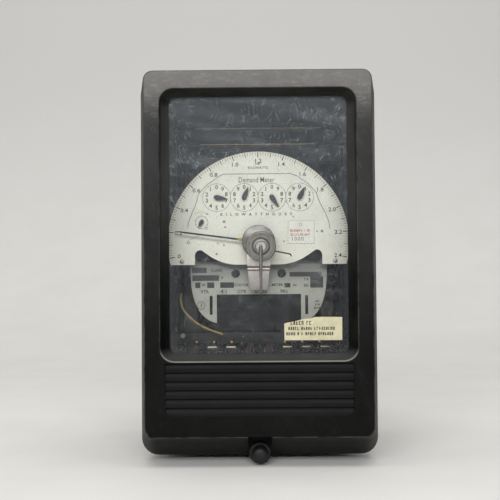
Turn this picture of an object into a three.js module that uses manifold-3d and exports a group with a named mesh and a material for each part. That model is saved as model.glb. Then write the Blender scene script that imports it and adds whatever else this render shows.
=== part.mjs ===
// Switchboard demand meter in a draw-out case: a moulded cover with a window, a pressed case behind the
// panel, ten knife-blade test switches, and a chassis that slides out with the whole movement on it.
// Millimetres, +Z up. Inside the assembly x runs to the right, y runs back from the cover's face, and z
// runs up from the bottom edge of the cover's rim.
import * as THREE from "three";
import { mergeVertices } from "three/addons/utils/BufferGeometryUtils.js";
import Module from "manifold-3d";

// ---- driving dimensions ----
const touchGap = 0.3; // between pieces that rest on each other
const runGap = 0.3; // radial clearance of everything that turns

// Cover
const coverWidth = 168.3;
const coverHeight = 270;
const coverDepth = 38;
const coverWall = 3.2;
const rimDepth = 4;
const rimCorner = 9;
const flareSide = 5.65;
const flareTop = 1.4;
const flareBottom = 17.7;
const faceCorner = 6.5;
const stileWidth = 10.6;
const headRail = 12.3;
const bevelBottom = 68.2;
const windowDepth = 10;
const bevelSide = 6;
const bevelTop = 4.5;
const bevelSill = 5.2;
const bevelCorner = 7;
const bezelWall = 2.2;
const louvreWidth = 128.6;
const louvreBottom = 31.9;
const louvreTop = 67.7;
const louvreCount = 6;
const louvreCut = 2.4;
const louvreBacking = 6;

// Window
const paneThickness = 2.6;
const paneLap = 4;
const windowGasketThickness = 0.8;

// Thumb nut, its niche in the cover and its stud on the case
const nutHeight = 4.4;
const nutRadius = 5.5;
const nutFront = 4.5;
const nutLength = 12;
const collarRadius = 7.6;
const collarThickness = 2.5;
const nutShank = 3.9;
const nutShankLength = 9;
const studRadius = 2.4;
const studReach = 26;
const nicheHalfWidth = 8.1;
const nicheWall = 2.5;

// Case
const gasketThickness = 2;
const gasketInset = 1.6;
const flangeThickness = 2.5;
const flangeInset = 1.4;
const overhangSide = 11.2;
const overhangTop = 8;
const overhangBottom = 4;
const caseDepth = 130;
const caseWall = 2;
const caseCorner = 9;
const tabHalfWidth = 22;
const tabReach = 15;
const panelStudRadius = 3;
const panelStudLength = 22;
const panelStudLow = 34;
const panelStudHigh = 236;

// Rear terminals
const terminalRadius = 2.4;
const terminalReach = 19;
const terminalInside = 8;
const terminalNut = 4.6;
const terminalNutHeight = 4;
const terminalRows = [38, 60];
const boardThickness = 8;
const boardMargin = 10;

// Test switches
const poleCount = 10;
const polePitch = 13.75;
const bladeWidth = 7;
const leafThickness = 0.9;
const bladeDepth = 8;
const bladePivotY = 56;
const bladePivotZ = 42;
const bladeTop = 74;
const bladeTail = 5;
const webFront = 6.5;
const webThickness = 1.5;
const postHeight = 4;
const switchBaseBottom = 20;
const switchBaseTop = 34;
const switchBaseBack = 72;
const barrierThickness = 1.6;
const barrierTop = 50;
const barrierFront = 44;

// Chassis
const chassisSideGap = 8.45;
const chassisBottom = 76;
const chassisHeadGap = 25;
const chassisFront = 60;
const chassisSheet = 2;
const chassisBackGap = 8.6;
const ledgeDrop = 12;
const ledgeFront = 55;
const ledgeHalfWidth = 48.5;
const contactBottom = 76;
const contactTop = 86;
const contactTongueBottom = 67;

// Dial and nameplate
const dialRadius = 66.3;
const dialDepth = 45;
const dialDrop = 100.1;
const dialThickness = 0.8;
const dialFoot = 16.4;
const notchX = 46.4;
const notchTop = 5.7;
const notchInner = 16;
const plateDepth = 53;
const plateHalfWidth = 50.7;
const plateTop = 11.5;
const plateShoulder = 27.5;
const plateBottom = 60;
const slotHalfWidth = 31.3;
const slotTop = 38.6;

// Register
const registerPitch = 20.2;
const registerRise = 32.6;
const registerAngles = [98.8, 21.5, 148, 27.6];
const registerPointerLength = 8;
const testDialX = -41.4;
const testDialRise = 14.6;
const testAngle = 212;
const testPointerLength = 4;
const arborRadius = 0.9;
const pointerThickness = 0.8;
const pointerLift = 1.6;
const registerPlate = 1.6;
const registerBack = 70;
const registerHalfWidth = 45;
const registerFoot = -14;
const registerHead = 50;

// Demand pointer, hub and reset lever
const needleLength = 60.4;
const needleWidth = 1.3;
const needleDepth = 39.2;
const needleThickness = 1;
const needleAngle = -82.5;
const needleHub = 7.5;
const hubRearRadius = 12;
const hubRearDepth = 35.6;
const hubRearThickness = 2;
const hubFrontRadius = 10.8;
const hubFrontDepth = 30;
const hubFrontThickness = 3;
const leverX = 1.7;
const leverDrop = 3.7;
const leverShaft = 1.5;
const leverDisc = 5.1;
const leverDiscThickness = 2.2;
const rodRadius = 0.7;
const rodLength = 34;
const tailLength = 23;
const tailAngle = -15.5;
const bracketHalfWidth = 7.4;
const bracketSheet = 1.2;
const bracketTop = 9;
const bracketBend = 16.6;
const bracketFoot = 35;

// Rotor and its elements
const rotorY = 105;
const diskDrop = 44;
const diskRadius = 44;
const diskThickness = 1.2;
const spindleRadius = 1.5;
const spindleBelow = 21;
const spindleAbove = 62.3;
const pivotRadius = 0.8;
const pivotLength = 4;
const wormRadius = 2.4;
const wormRise = 30.3;
const wormLength = 10;
const bearingRadius = 5;
const airGap = 3;
const coreDepth = 18;
const coreInner = 24;
const coreOuter = 58;
const limbWidth = 10;
const coreBelow = 25.7;
const coreAbove = 42.3;
const coilBulge = 9;
const magnetHalfWidth = 15;
const magnetFront = 130;
const magnetHeight = 28;
const motorRadius = 17;
const motorLength = 22;

// ---- sizes that follow from them ----
const rimHalf = coverWidth / 2;
const faceHalf = rimHalf - flareSide;
const faceTop = coverHeight - flareTop;
const bevelHalf = faceHalf - stileWidth;
const bevelHead = faceTop - headRail;
const openingHalf = bevelHalf - bevelSide;
const openingTop = bevelHead - bevelTop;
const openingBottom = bevelBottom + bevelSill;
const windowGasketFront = windowDepth + touchGap;
const paneFront = windowGasketFront + windowGasketThickness + touchGap;
const gasketFront = coverDepth + touchGap;
const flangeFront = gasketFront + gasketThickness + touchGap;
const flangeBack = flangeFront + flangeThickness;
const caseHalf = rimHalf - overhangSide;
const caseTop = coverHeight - overhangTop;
const caseBottom = overhangBottom;
const caseBack = flangeFront + caseDepth;
const boardFront = caseBack + touchGap;
const boardBack = boardFront + boardThickness;
const terminalEnd = boardBack + terminalReach;
const nicheBack = nutFront + nutLength + collarThickness + touchGap;
const dialHeight = openingTop - dialDrop;
const diskHeight = dialHeight - diskDrop;
const chassisBack = caseBack - caseWall - chassisBackGap;
const chassisHalfWidth = caseHalf - caseWall - chassisSideGap;
const chassisTop = caseTop - chassisHeadGap;
const ledgeHeight = chassisTop - ledgeDrop;
const spindleBottom = diskHeight - spindleBelow;
const spindleTop = diskHeight + spindleAbove;
const wormLow = diskHeight + wormRise;
const coreLow = diskHeight - coreBelow;
const coreHigh = diskHeight + coreAbove;
const registerFront = dialDepth + dialThickness + 3;
const lift = collarRadius - nutHeight;

// ---- materials ----
const finish = (color, roughness, metalness = 0) =>
  new THREE.MeshStandardMaterial({ color, roughness, metalness });
const moulding = finish(0x1b1a19, 0.45);
const blackSteel = finish(0x1d1d1e, 0.55, 0.2);
const darkSheet = finish(0x2b2c2f, 0.6, 0.3);
const rubber = finish(0x151515, 0.9);
const clear = finish(0xcfd6d8, 0.08);
const dialWhite = finish(0xd9d7cb, 0.55);
const plateGrey = finish(0xa9a89c, 0.5, 0.2);
const brightSteel = finish(0xb9b6b0, 0.35, 0.9);
const aluminium = finish(0xb5b8bb, 0.4, 0.9);
const brass = finish(0xb08d4a, 0.35, 0.9);
const copper = finish(0xa9683f, 0.4, 0.9);
const coilTape = finish(0x3a2a1c, 0.8);
const laminations = finish(0x4a4745, 0.6, 0.6);
const magnetGrey = finish(0x555a5e, 0.5, 0.5);
const pointerBlue = finish(0x3b424c, 0.5, 0.2);
const needleBlack = finish(0x141414, 0.5);
const leadYellow = finish(0x8a7430, 0.6);

// ---- solids ----
const wasm = await Module();
wasm.setup();

/** A closed geometry as a manifold-3d solid. */
function toSolid(geometry) {
  const bare = geometry.clone();
  bare.deleteAttribute("normal");
  bare.deleteAttribute("uv");
  const merged = mergeVertices(bare, 1e-4);
  return new wasm.Manifold(
    new wasm.Mesh({
      numProp: 3,
      vertProperties: new Float32Array(merged.attributes.position.array),
      triVerts: new Uint32Array(merged.index.array),
    }),
  );
}

/** A manifold-3d solid as a geometry. */
function toGeometry(solid) {
  const mesh = solid.getMesh();
  const points = new Float32Array(mesh.numVert * 3);
  for (let i = 0; i < mesh.numVert; i++) {
    points.set(mesh.vertProperties.subarray(i * mesh.numProp, i * mesh.numProp + 3), i * 3);
  }
  const geometry = new THREE.BufferGeometry();
  geometry.setAttribute("position", new THREE.BufferAttribute(points, 3));
  geometry.setIndex(new THREE.BufferAttribute(new Uint32Array(mesh.triVerts), 1));
  geometry.computeVertexNormals();
  return geometry;
}

/** The pieces joined, less the tools. */
function build(pieces, tools = []) {
  let solid = toSolid(pieces[0]);
  for (const piece of pieces.slice(1)) {
    solid = solid.add(toSolid(piece));
  }
  for (const tool of tools) {
    solid = solid.subtract(toSolid(tool));
  }
  return toGeometry(solid);
}

/** A block given by its low and high corners. */
function block(x0, x1, y0, y1, z0, z1) {
  const geometry = new THREE.BoxGeometry(x1 - x0, y1 - y0, z1 - z0);
  return geometry.translate((x0 + x1) / 2, (y0 + y1) / 2, (z0 + z1) / 2);
}

/** An outline drawn in x and z, made solid from depth y0 to depth y1. */
function slab(shape, y0, y1, curveSegments = 5) {
  const settings = { depth: y1 - y0, bevelEnabled: false, curveSegments };
  const geometry = new THREE.ExtrudeGeometry(shape, settings);
  return geometry.rotateX(Math.PI / 2).translate(0, y1, 0);
}

/** An outline drawn in y and z, made solid from x0 to x1. */
function bar(points, x0, x1) {
  const shape = new THREE.Shape(points.map(([y, z]) => new THREE.Vector2(y, z)));
  const geometry = new THREE.ExtrudeGeometry(shape, { depth: x1 - x0, bevelEnabled: false });
  const turn = new THREE.Matrix4().makeBasis(
    new THREE.Vector3(0, 1, 0),
    new THREE.Vector3(0, 0, 1),
    new THREE.Vector3(1, 0, 0),
  );
  return geometry.applyMatrix4(turn).translate(x0, 0, 0);
}

/** A profile of [radius, height] turned about its axis, which stands along Y. */
function turned(profile, segments = 16) {
  const points = profile.map(([radius, along]) => new THREE.Vector2(radius, along));
  if (THREE.ShapeUtils.area(points) < 0) {
    points.reverse();
  }
  return new THREE.LatheGeometry(points, segments);
}

/** A plain round bar along Y, from y0 to y1. */
const roundY = (radius, y0, y1, x = 0, z = 0, segments = 16) =>
  turned([[0, y0], [radius, y0], [radius, y1], [0, y1]], segments).translate(x, 0, z);

/** A turned profile stood along Z at (x, y). */
const uprightTurned = (profile, x, y, segments = 16) =>
  turned(profile, segments).rotateX(Math.PI / 2).translate(x, y, 0);

/** A plain round bar along Z, from z0 to z1. */
const roundZ = (radius, z0, z1, x, y, segments = 16) =>
  uprightTurned([[0, z0], [radius, z0], [radius, z1], [0, z1]], x, y, segments);

/** A rounded rectangle in x and z, centred on x. */
function panel(half, bottom, top, corner) {
  const shape = new THREE.Shape();
  const quarter = Math.PI / 2;
  shape.absarc(half - corner, bottom + corner, corner, -quarter, 0);
  shape.absarc(half - corner, top - corner, corner, 0, quarter);
  shape.absarc(-half + corner, top - corner, corner, quarter, 2 * quarter);
  shape.absarc(-half + corner, bottom + corner, corner, 2 * quarter, 3 * quarter);
  return shape;
}

/** A slab of a panel outline whose back edge is wider by side, higher by top and lower by bottom. */
function flared(half, low, high, corner, y0, y1, side, top, bottom) {
  const geometry = slab(panel(half, low, high, corner), y0, y1);
  const points = geometry.attributes.position;
  for (let i = 0; i < points.count; i++) {
    if (points.getY(i) > (y0 + y1) / 2) {
      points.setX(i, points.getX(i) + Math.sign(points.getX(i)) * side);
      points.setZ(i, points.getZ(i) + (points.getZ(i) > (low + high) / 2 ? top : -bottom));
    }
  }
  return geometry;
}

/** A wire of round section along a smooth curve through the points. */
function wire(points, radius, steps, sides = 8) {
  const section = new THREE.Shape().absarc(0, 0, radius, 0, 2 * Math.PI);
  const path = new THREE.CatmullRomCurve3(points.map((p) => new THREE.Vector3(...p)));
  return new THREE.ExtrudeGeometry(section, { steps, extrudePath: path, curveSegments: sides });
}

const degrees = THREE.MathUtils.degToRad;

/** Adds a named mesh to a group and returns it. */
function add(group, name, geometry, material) {
  const mesh = new THREE.Mesh(geometry, material);
  mesh.name = name;
  group.add(mesh);
  return mesh;
}

// ---- cover ----
function coverFrame() {
  const flareDepth = coverDepth - rimDepth;
  const faceLow = flareBottom;
  const outer = flared(
    faceHalf, faceLow, faceTop, faceCorner, 0, flareDepth, flareSide, flareTop, flareBottom,
  );
  const rim = slab(panel(rimHalf, 0, coverHeight, rimCorner), flareDepth, coverDepth);
  const hollow = flared(
    faceHalf - coverWall, faceLow + coverWall, faceTop - coverWall, faceCorner - coverWall,
    coverWall, coverDepth + 1, flareSide, flareTop, flareBottom,
  );
  const bezel = slab(
    panel(bevelHalf + bezelWall, bevelBottom - bezelWall, bevelHead + bezelWall, bevelCorner),
    coverWall / 2, windowDepth,
  );
  const before = 1 / windowDepth; // the funnel starts 1 mm in front of the face
  const funnel = flared(
    bevelHalf + bevelSide * before, bevelBottom - bevelSill * before, bevelHead + bevelTop * before,
    bevelCorner, -1, windowDepth + 1,
    -bevelSide * (1 + 2 * before), -bevelTop * (1 + 2 * before), -bevelSill * (1 + 2 * before),
  );
  const backing = block(
    -louvreWidth / 2 - coverWall, louvreWidth / 2 + coverWall,
    coverWall / 2, louvreBacking, louvreBottom - coverWall, louvreTop,
  );
  const louvrePitch = (louvreTop - louvreBottom) / louvreCount;
  const louvres = [];
  for (let i = 0; i < louvreCount; i++) {
    const high = louvreTop - i * louvrePitch;
    const low = high - louvrePitch;
    louvres.push(
      bar([[-1, low], [0, low], [louvreCut, high], [-1, high]], -louvreWidth / 2, louvreWidth / 2),
    );
  }
  // The niche is a box inside the sloping foot of the cover, open to the front and below.
  const nicheShell = block(
    -nicheHalfWidth - nicheWall, nicheHalfWidth + nicheWall,
    coverWall / 2, nicheBack + nicheWall, 0.5, flareBottom + nicheWall,
  );
  const niche = block(-nicheHalfWidth, nicheHalfWidth, -1, nicheBack, -5, flareBottom);
  const shankHole = roundY(nutShank + runGap, nicheBack - 1, coverDepth + 2, 0, nutHeight, 20);
  // The rib inside the top of the rim that hangs on the case's tab.
  const hangRib = block(
    -tabHalfWidth, tabHalfWidth, coverDepth - tabReach / 2, coverDepth,
    caseTop + touchGap, coverHeight - coverWall / 2,
  );
  const shell = build([outer, rim], [hollow]);
  const fittings = build([bezel, backing, nicheShell]);
  const trimmed = toGeometry(toSolid(fittings).intersect(toSolid(build([outer, rim]))));
  return build([shell, trimmed, hangRib], [funnel, ...louvres, niche, shankHole]);
}

function windowRing(lap, y0, y1, hole) {
  const outline = panel(openingHalf + lap, openingBottom - lap, openingTop + lap, bevelCorner);
  if (hole) {
    outline.holes.push(panel(openingHalf, openingBottom, openingTop, bevelCorner - 2));
  }
  return slab(outline, y0, y1);
}

function thumbNut() {
  const headEnd = nutFront + nutLength;
  const collarEnd = headEnd + collarThickness;
  const shankEnd = nicheBack + nutShankLength;
  const bore = studRadius + runGap;
  return turned([
    [0, nutFront], [nutRadius - 1.2, nutFront], [nutRadius, nutFront + 1.2], [nutRadius, headEnd],
    [collarRadius, headEnd], [collarRadius, collarEnd], [nutShank, collarEnd], [nutShank, shankEnd],
    [bore, shankEnd], [bore, nutFront + 3.5], [0, nutFront + 3.5],
  ], 24);
}

// ---- case ----
function terminalPlaces() {
  const perRow = poleCount / terminalRows.length;
  const places = [];
  for (let i = 0; i < poleCount; i++) {
    const row = i % terminalRows.length;
    const column = Math.floor(i / terminalRows.length) - (perRow - 1) / 2;
    places.push([column * 2 * polePitch, terminalRows[row]]);
  }
  return places;
}

function caseShell() {
  const flange = slab(
    panel(rimHalf - flangeInset, flangeInset, coverHeight - flangeInset, rimCorner),
    flangeFront, flangeBack,
  );
  const body = slab(panel(caseHalf, caseBottom, caseTop, caseCorner), flangeFront, caseBack);
  const hollow = slab(
    panel(caseHalf - caseWall, caseBottom + caseWall, caseTop - caseWall, caseCorner - caseWall),
    flangeFront - 1, caseBack - caseWall,
  );
  const tab = block(
    -tabHalfWidth + 2, tabHalfWidth - 2, flangeFront - tabReach, flangeFront + 1,
    caseTop - caseWall, caseTop,
  );
  const holes = terminalPlaces().map(([x, z]) =>
    roundY(terminalRadius + runGap, caseBack - caseWall - 1, caseBack + 1, x, z, 12),
  );
  return build([flange, body, tab], [hollow, ...holes]);
}

function coverGasket() {
  const outline = panel(
    rimHalf - gasketInset, gasketInset, coverHeight - gasketInset, rimCorner,
  );
  outline.holes.push(
    panel(caseHalf - caseWall, caseBottom + caseWall + 6, caseTop + touchGap, caseCorner),
  );
  const studHole = roundY(
    studRadius + runGap, gasketFront - 1, gasketFront + gasketThickness + 1, 0, nutHeight, 12,
  );
  return build([slab(outline, gasketFront, gasketFront + gasketThickness)], [studHole]);
}

function coverStud() {
  const seat = flangeFront - touchGap;
  return roundY(studRadius, seat - studReach, seat, 0, nutHeight, 12);
}

function terminalBoard() {
  const low = Math.min(...terminalRows) - boardMargin;
  const high = Math.max(...terminalRows) + boardMargin;
  const half = 2 * polePitch * (poleCount / terminalRows.length - 1) / 2 + boardMargin;
  const holes = terminalPlaces().map(([x, z]) =>
    roundY(terminalRadius + runGap, boardFront - 1, boardBack + 1, x, z, 12),
  );
  return build([slab(panel(half, low, high, 3), boardFront, boardBack)], holes);
}

function terminalStud() {
  const head = caseBack - caseWall - touchGap;
  const nutBase = boardBack + touchGap;
  return turned([
    [0, head - terminalInside], [terminalRadius, head - terminalInside], [terminalRadius, nutBase],
    [terminalNut, nutBase], [terminalNut, nutBase + terminalNutHeight],
    [terminalRadius, nutBase + terminalNutHeight], [terminalRadius, terminalEnd], [0, terminalEnd],
  ], 12);
}

function panelStud() {
  const base = flangeBack + touchGap;
  return turned([
    [0, base], [panelStudRadius + 1.2, base], [panelStudRadius + 1.2, base + 1.5],
    [panelStudRadius, base + 1.5], [panelStudRadius, base + panelStudLength],
    [0, base + panelStudLength],
  ], 12);
}

// ---- test switches ----
const poleX = (i) => (i - (poleCount - 1) / 2) * polePitch;

function switchBase() {
  const half = poleCount * polePitch / 2 + barrierThickness / 2;
  const pieces = [block(-half, half, barrierFront, switchBaseBack, switchBaseBottom, switchBaseTop)];
  for (let i = 0; i <= poleCount; i++) {
    const x = poleX(i) - polePitch / 2;
    pieces.push(block(
      x - barrierThickness / 2, x + barrierThickness / 2,
      barrierFront, switchBaseBack, switchBaseTop - 1, barrierTop,
    ));
  }
  const postHalf = bladeWidth / 2 - leafThickness - runGap;
  for (let i = 0; i < poleCount; i++) {
    const x = poleX(i);
    pieces.push(block(
      x - postHalf, x + postHalf, bladePivotY - bladeDepth / 2, bladePivotY + bladeDepth / 2,
      switchBaseTop - 1, bladePivotZ + postHeight,
    ));
  }
  return build(pieces);
}

/** One blade about its pivot: two leaves astride the post, tied by a web in front. */
function switchBlade() {
  const outer = bladeWidth / 2;
  const inner = outer - leafThickness;
  const length = bladeTop - bladePivotZ;
  const webTop = contactTongueBottom - bladePivotZ - 1;
  const leaves = [-1, 1].map((side) =>
    block(
      Math.min(side * outer, side * inner), Math.max(side * outer, side * inner),
      -bladeDepth / 2, bladeDepth / 2, -bladeTail, length,
    ),
  );
  const webs = [-1, 1].map((side) =>
    block(
      Math.min(side * outer, side * inner), Math.max(side * outer, side * inner),
      -webFront, -bladeDepth / 2 + 1, webTop / 3, webTop,
    ),
  );
  const web = block(-outer, outer, -webFront, -webFront + webThickness, webTop / 3, webTop);
  return build([...leaves, ...webs, web]);
}

function contactBlock() {
  const tongueHalf = bladeWidth / 2 - leafThickness - runGap;
  const half = Math.max(chassisHalfWidth, poleX(poleCount - 1) + tongueHalf);
  const front = bladePivotY - bladeDepth / 2 - 2;
  const back = chassisFront - touchGap;
  const pieces = [block(-half, half, front, back, contactBottom, contactTop)];
  for (let i = 0; i < poleCount; i++) {
    pieces.push(block(
      poleX(i) - tongueHalf, poleX(i) + tongueHalf,
      front + 3, back - 1, contactTongueBottom, contactBottom + 1,
    ));
  }
  return build(pieces);
}

// ---- chassis ----
function chassisFrame() {
  const half = chassisHalfWidth;
  const inner = half - chassisSheet;
  const box = block(-half, half, chassisFront, chassisBack, chassisBottom, chassisTop);
  const hollow = block(
    -inner, inner, chassisFront - 1, chassisBack - chassisSheet,
    chassisBottom + chassisSheet, chassisTop - chassisSheet,
  );
  // The side windows leave a strap of wall that carries the bearing bridge.
  const bridgeLow = spindleTop + 6;
  const bridgeHigh = bridgeLow + 4;
  const sideWindows = [[chassisBottom + 44, bridgeLow - 4], [bridgeHigh + 4, chassisTop - 24]].map(
    ([low, high]) => block(-half - 1, half + 1, chassisFront + 22, chassisBack - 22, low, high),
  );
  const backWindow = block(
    -inner + 20, inner - 20, chassisBack - chassisSheet - 1, chassisBack + 1,
    diskHeight + magnetHeight, chassisTop - 24,
  );
  const upperLip = block(
    -ledgeHalfWidth, ledgeHalfWidth, ledgeFront, chassisFront + 1,
    chassisTop - chassisSheet, chassisTop,
  );
  const ledge = block(
    -inner - 1, inner + 1, chassisFront, chassisFront + chassisSheet,
    ledgeHeight - 14, ledgeHeight,
  );
  const ledgeLip = block(
    -ledgeHalfWidth + 3, ledgeHalfWidth - 3, ledgeFront, chassisFront + 1,
    ledgeHeight - chassisSheet, ledgeHeight,
  );
  const bridge = block(
    -inner - 1, inner + 1, rotorY - bearingRadius - 1, rotorY + bearingRadius + 1,
    bridgeLow, bridgeHigh,
  );
  return build([build([box], [hollow, ...sideWindows, backWindow]), upperLip, ledge, ledgeLip, bridge]);
}

function dialPlate() {
  const footX = Math.sqrt(dialRadius ** 2 - dialFoot ** 2);
  const footAngle = Math.asin(-dialFoot / dialRadius);
  const shape = new THREE.Shape();
  shape.moveTo(footX, -dialFoot);
  shape.absarc(0, 0, dialRadius, footAngle, Math.PI - footAngle);
  shape.lineTo(-notchX, -dialFoot);
  shape.lineTo(-notchX, -notchTop - 3.5);
  shape.quadraticCurveTo(-notchX, -notchTop, -notchX + 3.5, -notchTop);
  shape.bezierCurveTo(-notchX + 9.5, -notchTop, -notchInner - 15, -dialFoot, -notchInner, -dialFoot);
  shape.lineTo(notchInner, -dialFoot);
  shape.bezierCurveTo(notchInner + 15, -dialFoot, notchX - 9.5, -notchTop, notchX - 3.5, -notchTop);
  shape.quadraticCurveTo(notchX, -notchTop, notchX, -notchTop - 3.5);
  shape.lineTo(notchX, -dialFoot);
  const plate = slab(shape, dialDepth, dialDepth + dialThickness, 12).translate(0, 0, dialHeight);
  const holes = arborPlaces().map(([x, z]) =>
    roundY(arborRadius + runGap, dialDepth - 1, dialDepth + dialThickness + 1, x, z, 12),
  );
  return build([plate], holes);
}

/** Where the pointer arbors come through the dial: four register pointers and the test pointer. */
function arborPlaces() {
  const places = [0, 1, 2, 3].map((i) => [(i - 1.5) * registerPitch, dialHeight + registerRise]);
  places.push([testDialX, dialHeight + testDialRise]);
  return places;
}

function registerFrame() {
  const low = dialHeight + registerFoot;
  const high = dialHeight + registerHead;
  const half = registerHalfWidth;
  const pieces = [
    block(-half, half, registerFront, registerFront + registerPlate, low, high),
    block(-half, half, registerBack - registerPlate, registerBack, low, high),
  ];
  for (const x of [-half + 5, half - 5]) {
    for (const z of [low + 5, high - 5]) {
      pieces.push(roundY(2.5, registerFront + 0.5, registerBack - 0.5, x, z, 10));
    }
  }
  const holes = arborPlaces().map(([x, z]) =>
    roundY(arborRadius + runGap, registerFront - 1, registerFront + registerPlate + 1, x, z, 12),
  );
  return build(pieces, holes);
}

/** A teardrop pointer about its arbor, pointing up. */
function teardrop(length, width) {
  const shape = new THREE.Shape();
  shape.absarc(0, 0, width / 2, Math.PI, 2 * Math.PI);
  shape.lineTo(width * 0.16, length);
  shape.lineTo(-width * 0.16, length);
  const blade = slab(shape, -pointerLift - pointerThickness, -pointerLift, 6);
  const arborEnd = registerFront - dialDepth + registerPlate + 1.5;
  return build([blade, roundY(arborRadius, -pointerLift - 0.4, arborEnd, 0, 0, 10)]);
}

function namePlate() {
  const shape = new THREE.Shape();
  shape.moveTo(-plateHalfWidth, -plateTop);
  shape.lineTo(-plateHalfWidth, -plateShoulder);
  shape.bezierCurveTo(
    -plateHalfWidth + 1.5, -plateBottom + 12, -slotHalfWidth - 14, -plateBottom + 1,
    -slotHalfWidth, -plateBottom,
  );
  shape.lineTo(-slotHalfWidth, -slotTop);
  shape.lineTo(slotHalfWidth, -slotTop);
  shape.lineTo(slotHalfWidth, -plateBottom);
  shape.bezierCurveTo(
    slotHalfWidth + 14, -plateBottom + 1, plateHalfWidth - 1.5, -plateBottom + 12,
    plateHalfWidth, -plateShoulder,
  );
  shape.lineTo(plateHalfWidth, -plateTop);
  return slab(shape, plateDepth, plateDepth + dialThickness, 8).translate(0, 0, dialHeight);
}

function hubHousing() {
  const leverBore = roundY(
    leverShaft + runGap, hubFrontDepth - 1, hubFrontDepth + hubFrontThickness + 1,
    leverX, -leverDrop, 12,
  );
  const front = build(
    [roundY(hubFrontRadius, hubFrontDepth, hubFrontDepth + hubFrontThickness, leverX, -leverDrop, 28)],
    [leverBore],
  );
  const rear = roundY(hubRearRadius, hubRearDepth, hubRearDepth + hubRearThickness, 0, 0, 28);
  const arbor = roundY(arborRadius, hubFrontDepth + 1, dialDepth - touchGap, 0, 0, 10);
  return build([front, rear, arbor]).translate(0, 0, dialHeight);
}

function hubBracket() {
  const face = hubRearDepth + hubRearThickness + touchGap;
  const step = face + 2.5;
  const foot = plateDepth - touchGap;
  return bar([
    [face, -bracketTop], [face, -bracketBend], [step, -bracketBend - 2], [step, -bracketFoot],
    [foot, -bracketFoot], [foot, -bracketFoot + bracketSheet],
    [step + bracketSheet, -bracketFoot + bracketSheet],
    [step + bracketSheet, -bracketBend - 1.4], [face + bracketSheet, -bracketBend + 0.6],
    [face + bracketSheet, -bracketTop],
  ], -bracketHalfWidth, bracketHalfWidth).translate(0, 0, dialHeight);
}

/** The demand pointer about its pivot, pointing up. */
function demandPointer() {
  const shape = new THREE.Shape();
  shape.moveTo(needleWidth, 0);
  shape.lineTo(needleWidth * 0.25, needleLength);
  shape.lineTo(-needleWidth * 0.25, needleLength);
  shape.lineTo(-needleWidth, 0);
  const back = needleDepth + needleThickness;
  const bore = roundY(arborRadius + runGap, needleDepth - 2, back + 2, 0, 0, 12);
  return build([slab(shape, needleDepth, back), roundY(needleHub, needleDepth, back, 0, 0, 20)], [bore]);
}

/** The reset lever about its shaft: a slotted disc with a hanging rod, and a tail behind the hub. */
function resetLever() {
  const discFront = hubFrontDepth - touchGap - leverDiscThickness;
  const gapMiddle = (hubFrontDepth + hubFrontThickness + hubRearDepth) / 2;
  const disc = roundY(leverDisc, discFront, discFront + leverDiscThickness, 0, 0, 20);
  const shaft = roundY(leverShaft, discFront + 1, gapMiddle + 0.6, 0, 0, 12);
  const slot = block(-0.5, 0.5, discFront - 1, discFront + 0.9, 0.4, leverDisc - 1.2);
  const rod = roundZ(rodRadius, -rodLength, -0.4, 0, discFront + 0.2, 8);
  const tail = new THREE.BoxGeometry(tailLength, 1, 1).translate(tailLength / 2, gapMiddle, 0);
  tail.rotateY(-degrees(tailAngle));
  return build([disc, shaft, rod, tail], [slot]);
}

// ---- movement ----
function spindle() {
  return uprightTurned([
    [0, spindleBottom], [pivotRadius, spindleBottom], [pivotRadius, spindleBottom + pivotLength],
    [spindleRadius, spindleBottom + pivotLength], [spindleRadius, wormLow], [wormRadius, wormLow],
    [wormRadius, wormLow + wormLength], [spindleRadius, wormLow + wormLength],
    [spindleRadius, spindleTop - pivotLength],
    [pivotRadius, spindleTop - pivotLength], [pivotRadius, spindleTop], [0, spindleTop],
  ], 0, rotorY, 12);
}

function disk() {
  const half = diskThickness / 2;
  const hole = spindleRadius + touchGap;
  return uprightTurned([
    [hole, diskHeight - half], [diskRadius, diskHeight - half], [diskRadius, diskHeight + half],
    [hole, diskHeight + half], [hole, diskHeight - half],
  ], 0, rotorY, 40);
}

function lowerBearing() {
  const foot = chassisBottom + chassisSheet + touchGap;
  const mouth = spindleBottom + pivotLength - 1;
  const floor = spindleBottom - 0.5;
  return uprightTurned([
    [0, foot], [bearingRadius, foot], [bearingRadius, mouth], [pivotRadius + runGap, mouth],
    [pivotRadius + runGap, floor], [0, floor],
  ], 0, rotorY, 16);
}

function upperBearing() {
  const head = spindleTop + 6 - touchGap;
  const mouth = spindleTop - pivotLength + 1;
  const roof = spindleTop + 0.5;
  return uprightTurned([
    [0, head], [bearingRadius, head], [bearingRadius, mouth], [pivotRadius + runGap, mouth],
    [pivotRadius + runGap, roof], [0, roof],
  ], 0, rotorY, 16);
}

/** One stator's iron on the right-hand side: poles above and below the disk, tied by the outer yoke. */
function statorCore() {
  const y0 = rotorY - coreDepth / 2;
  const y1 = rotorY + coreDepth / 2;
  const windowIn = coreInner + limbWidth;
  const windowOut = coreOuter - limbWidth;
  const gapLow = diskHeight - airGap;
  const gapHigh = diskHeight + airGap;
  return build(
    [block(coreInner, coreOuter, y0, y1, coreLow, coreHigh)],
    [
      block(windowIn, windowOut, y0 - 1, y1 + 1, coreLow + 8, coreHigh - 8),
      block(coreInner - 1, windowOut, y0 - 1, y1 + 1, gapLow, gapHigh),
    ],
  );
}

/** A coil round the right-hand stator's limb between two heights. */
function coil(low, high) {
  const y0 = rotorY - coreDepth / 2;
  const y1 = rotorY + coreDepth / 2;
  const gap = touchGap;
  const outer = block(
    coreInner - coilBulge, coreInner + limbWidth + coilBulge, y0 - coilBulge, y1 + coilBulge, low, high,
  );
  const limb = block(
    coreInner - gap, coreInner + limbWidth + gap, y0 - gap, y1 + gap, low - 1, high + 1,
  );
  return build([outer], [limb]);
}

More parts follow.
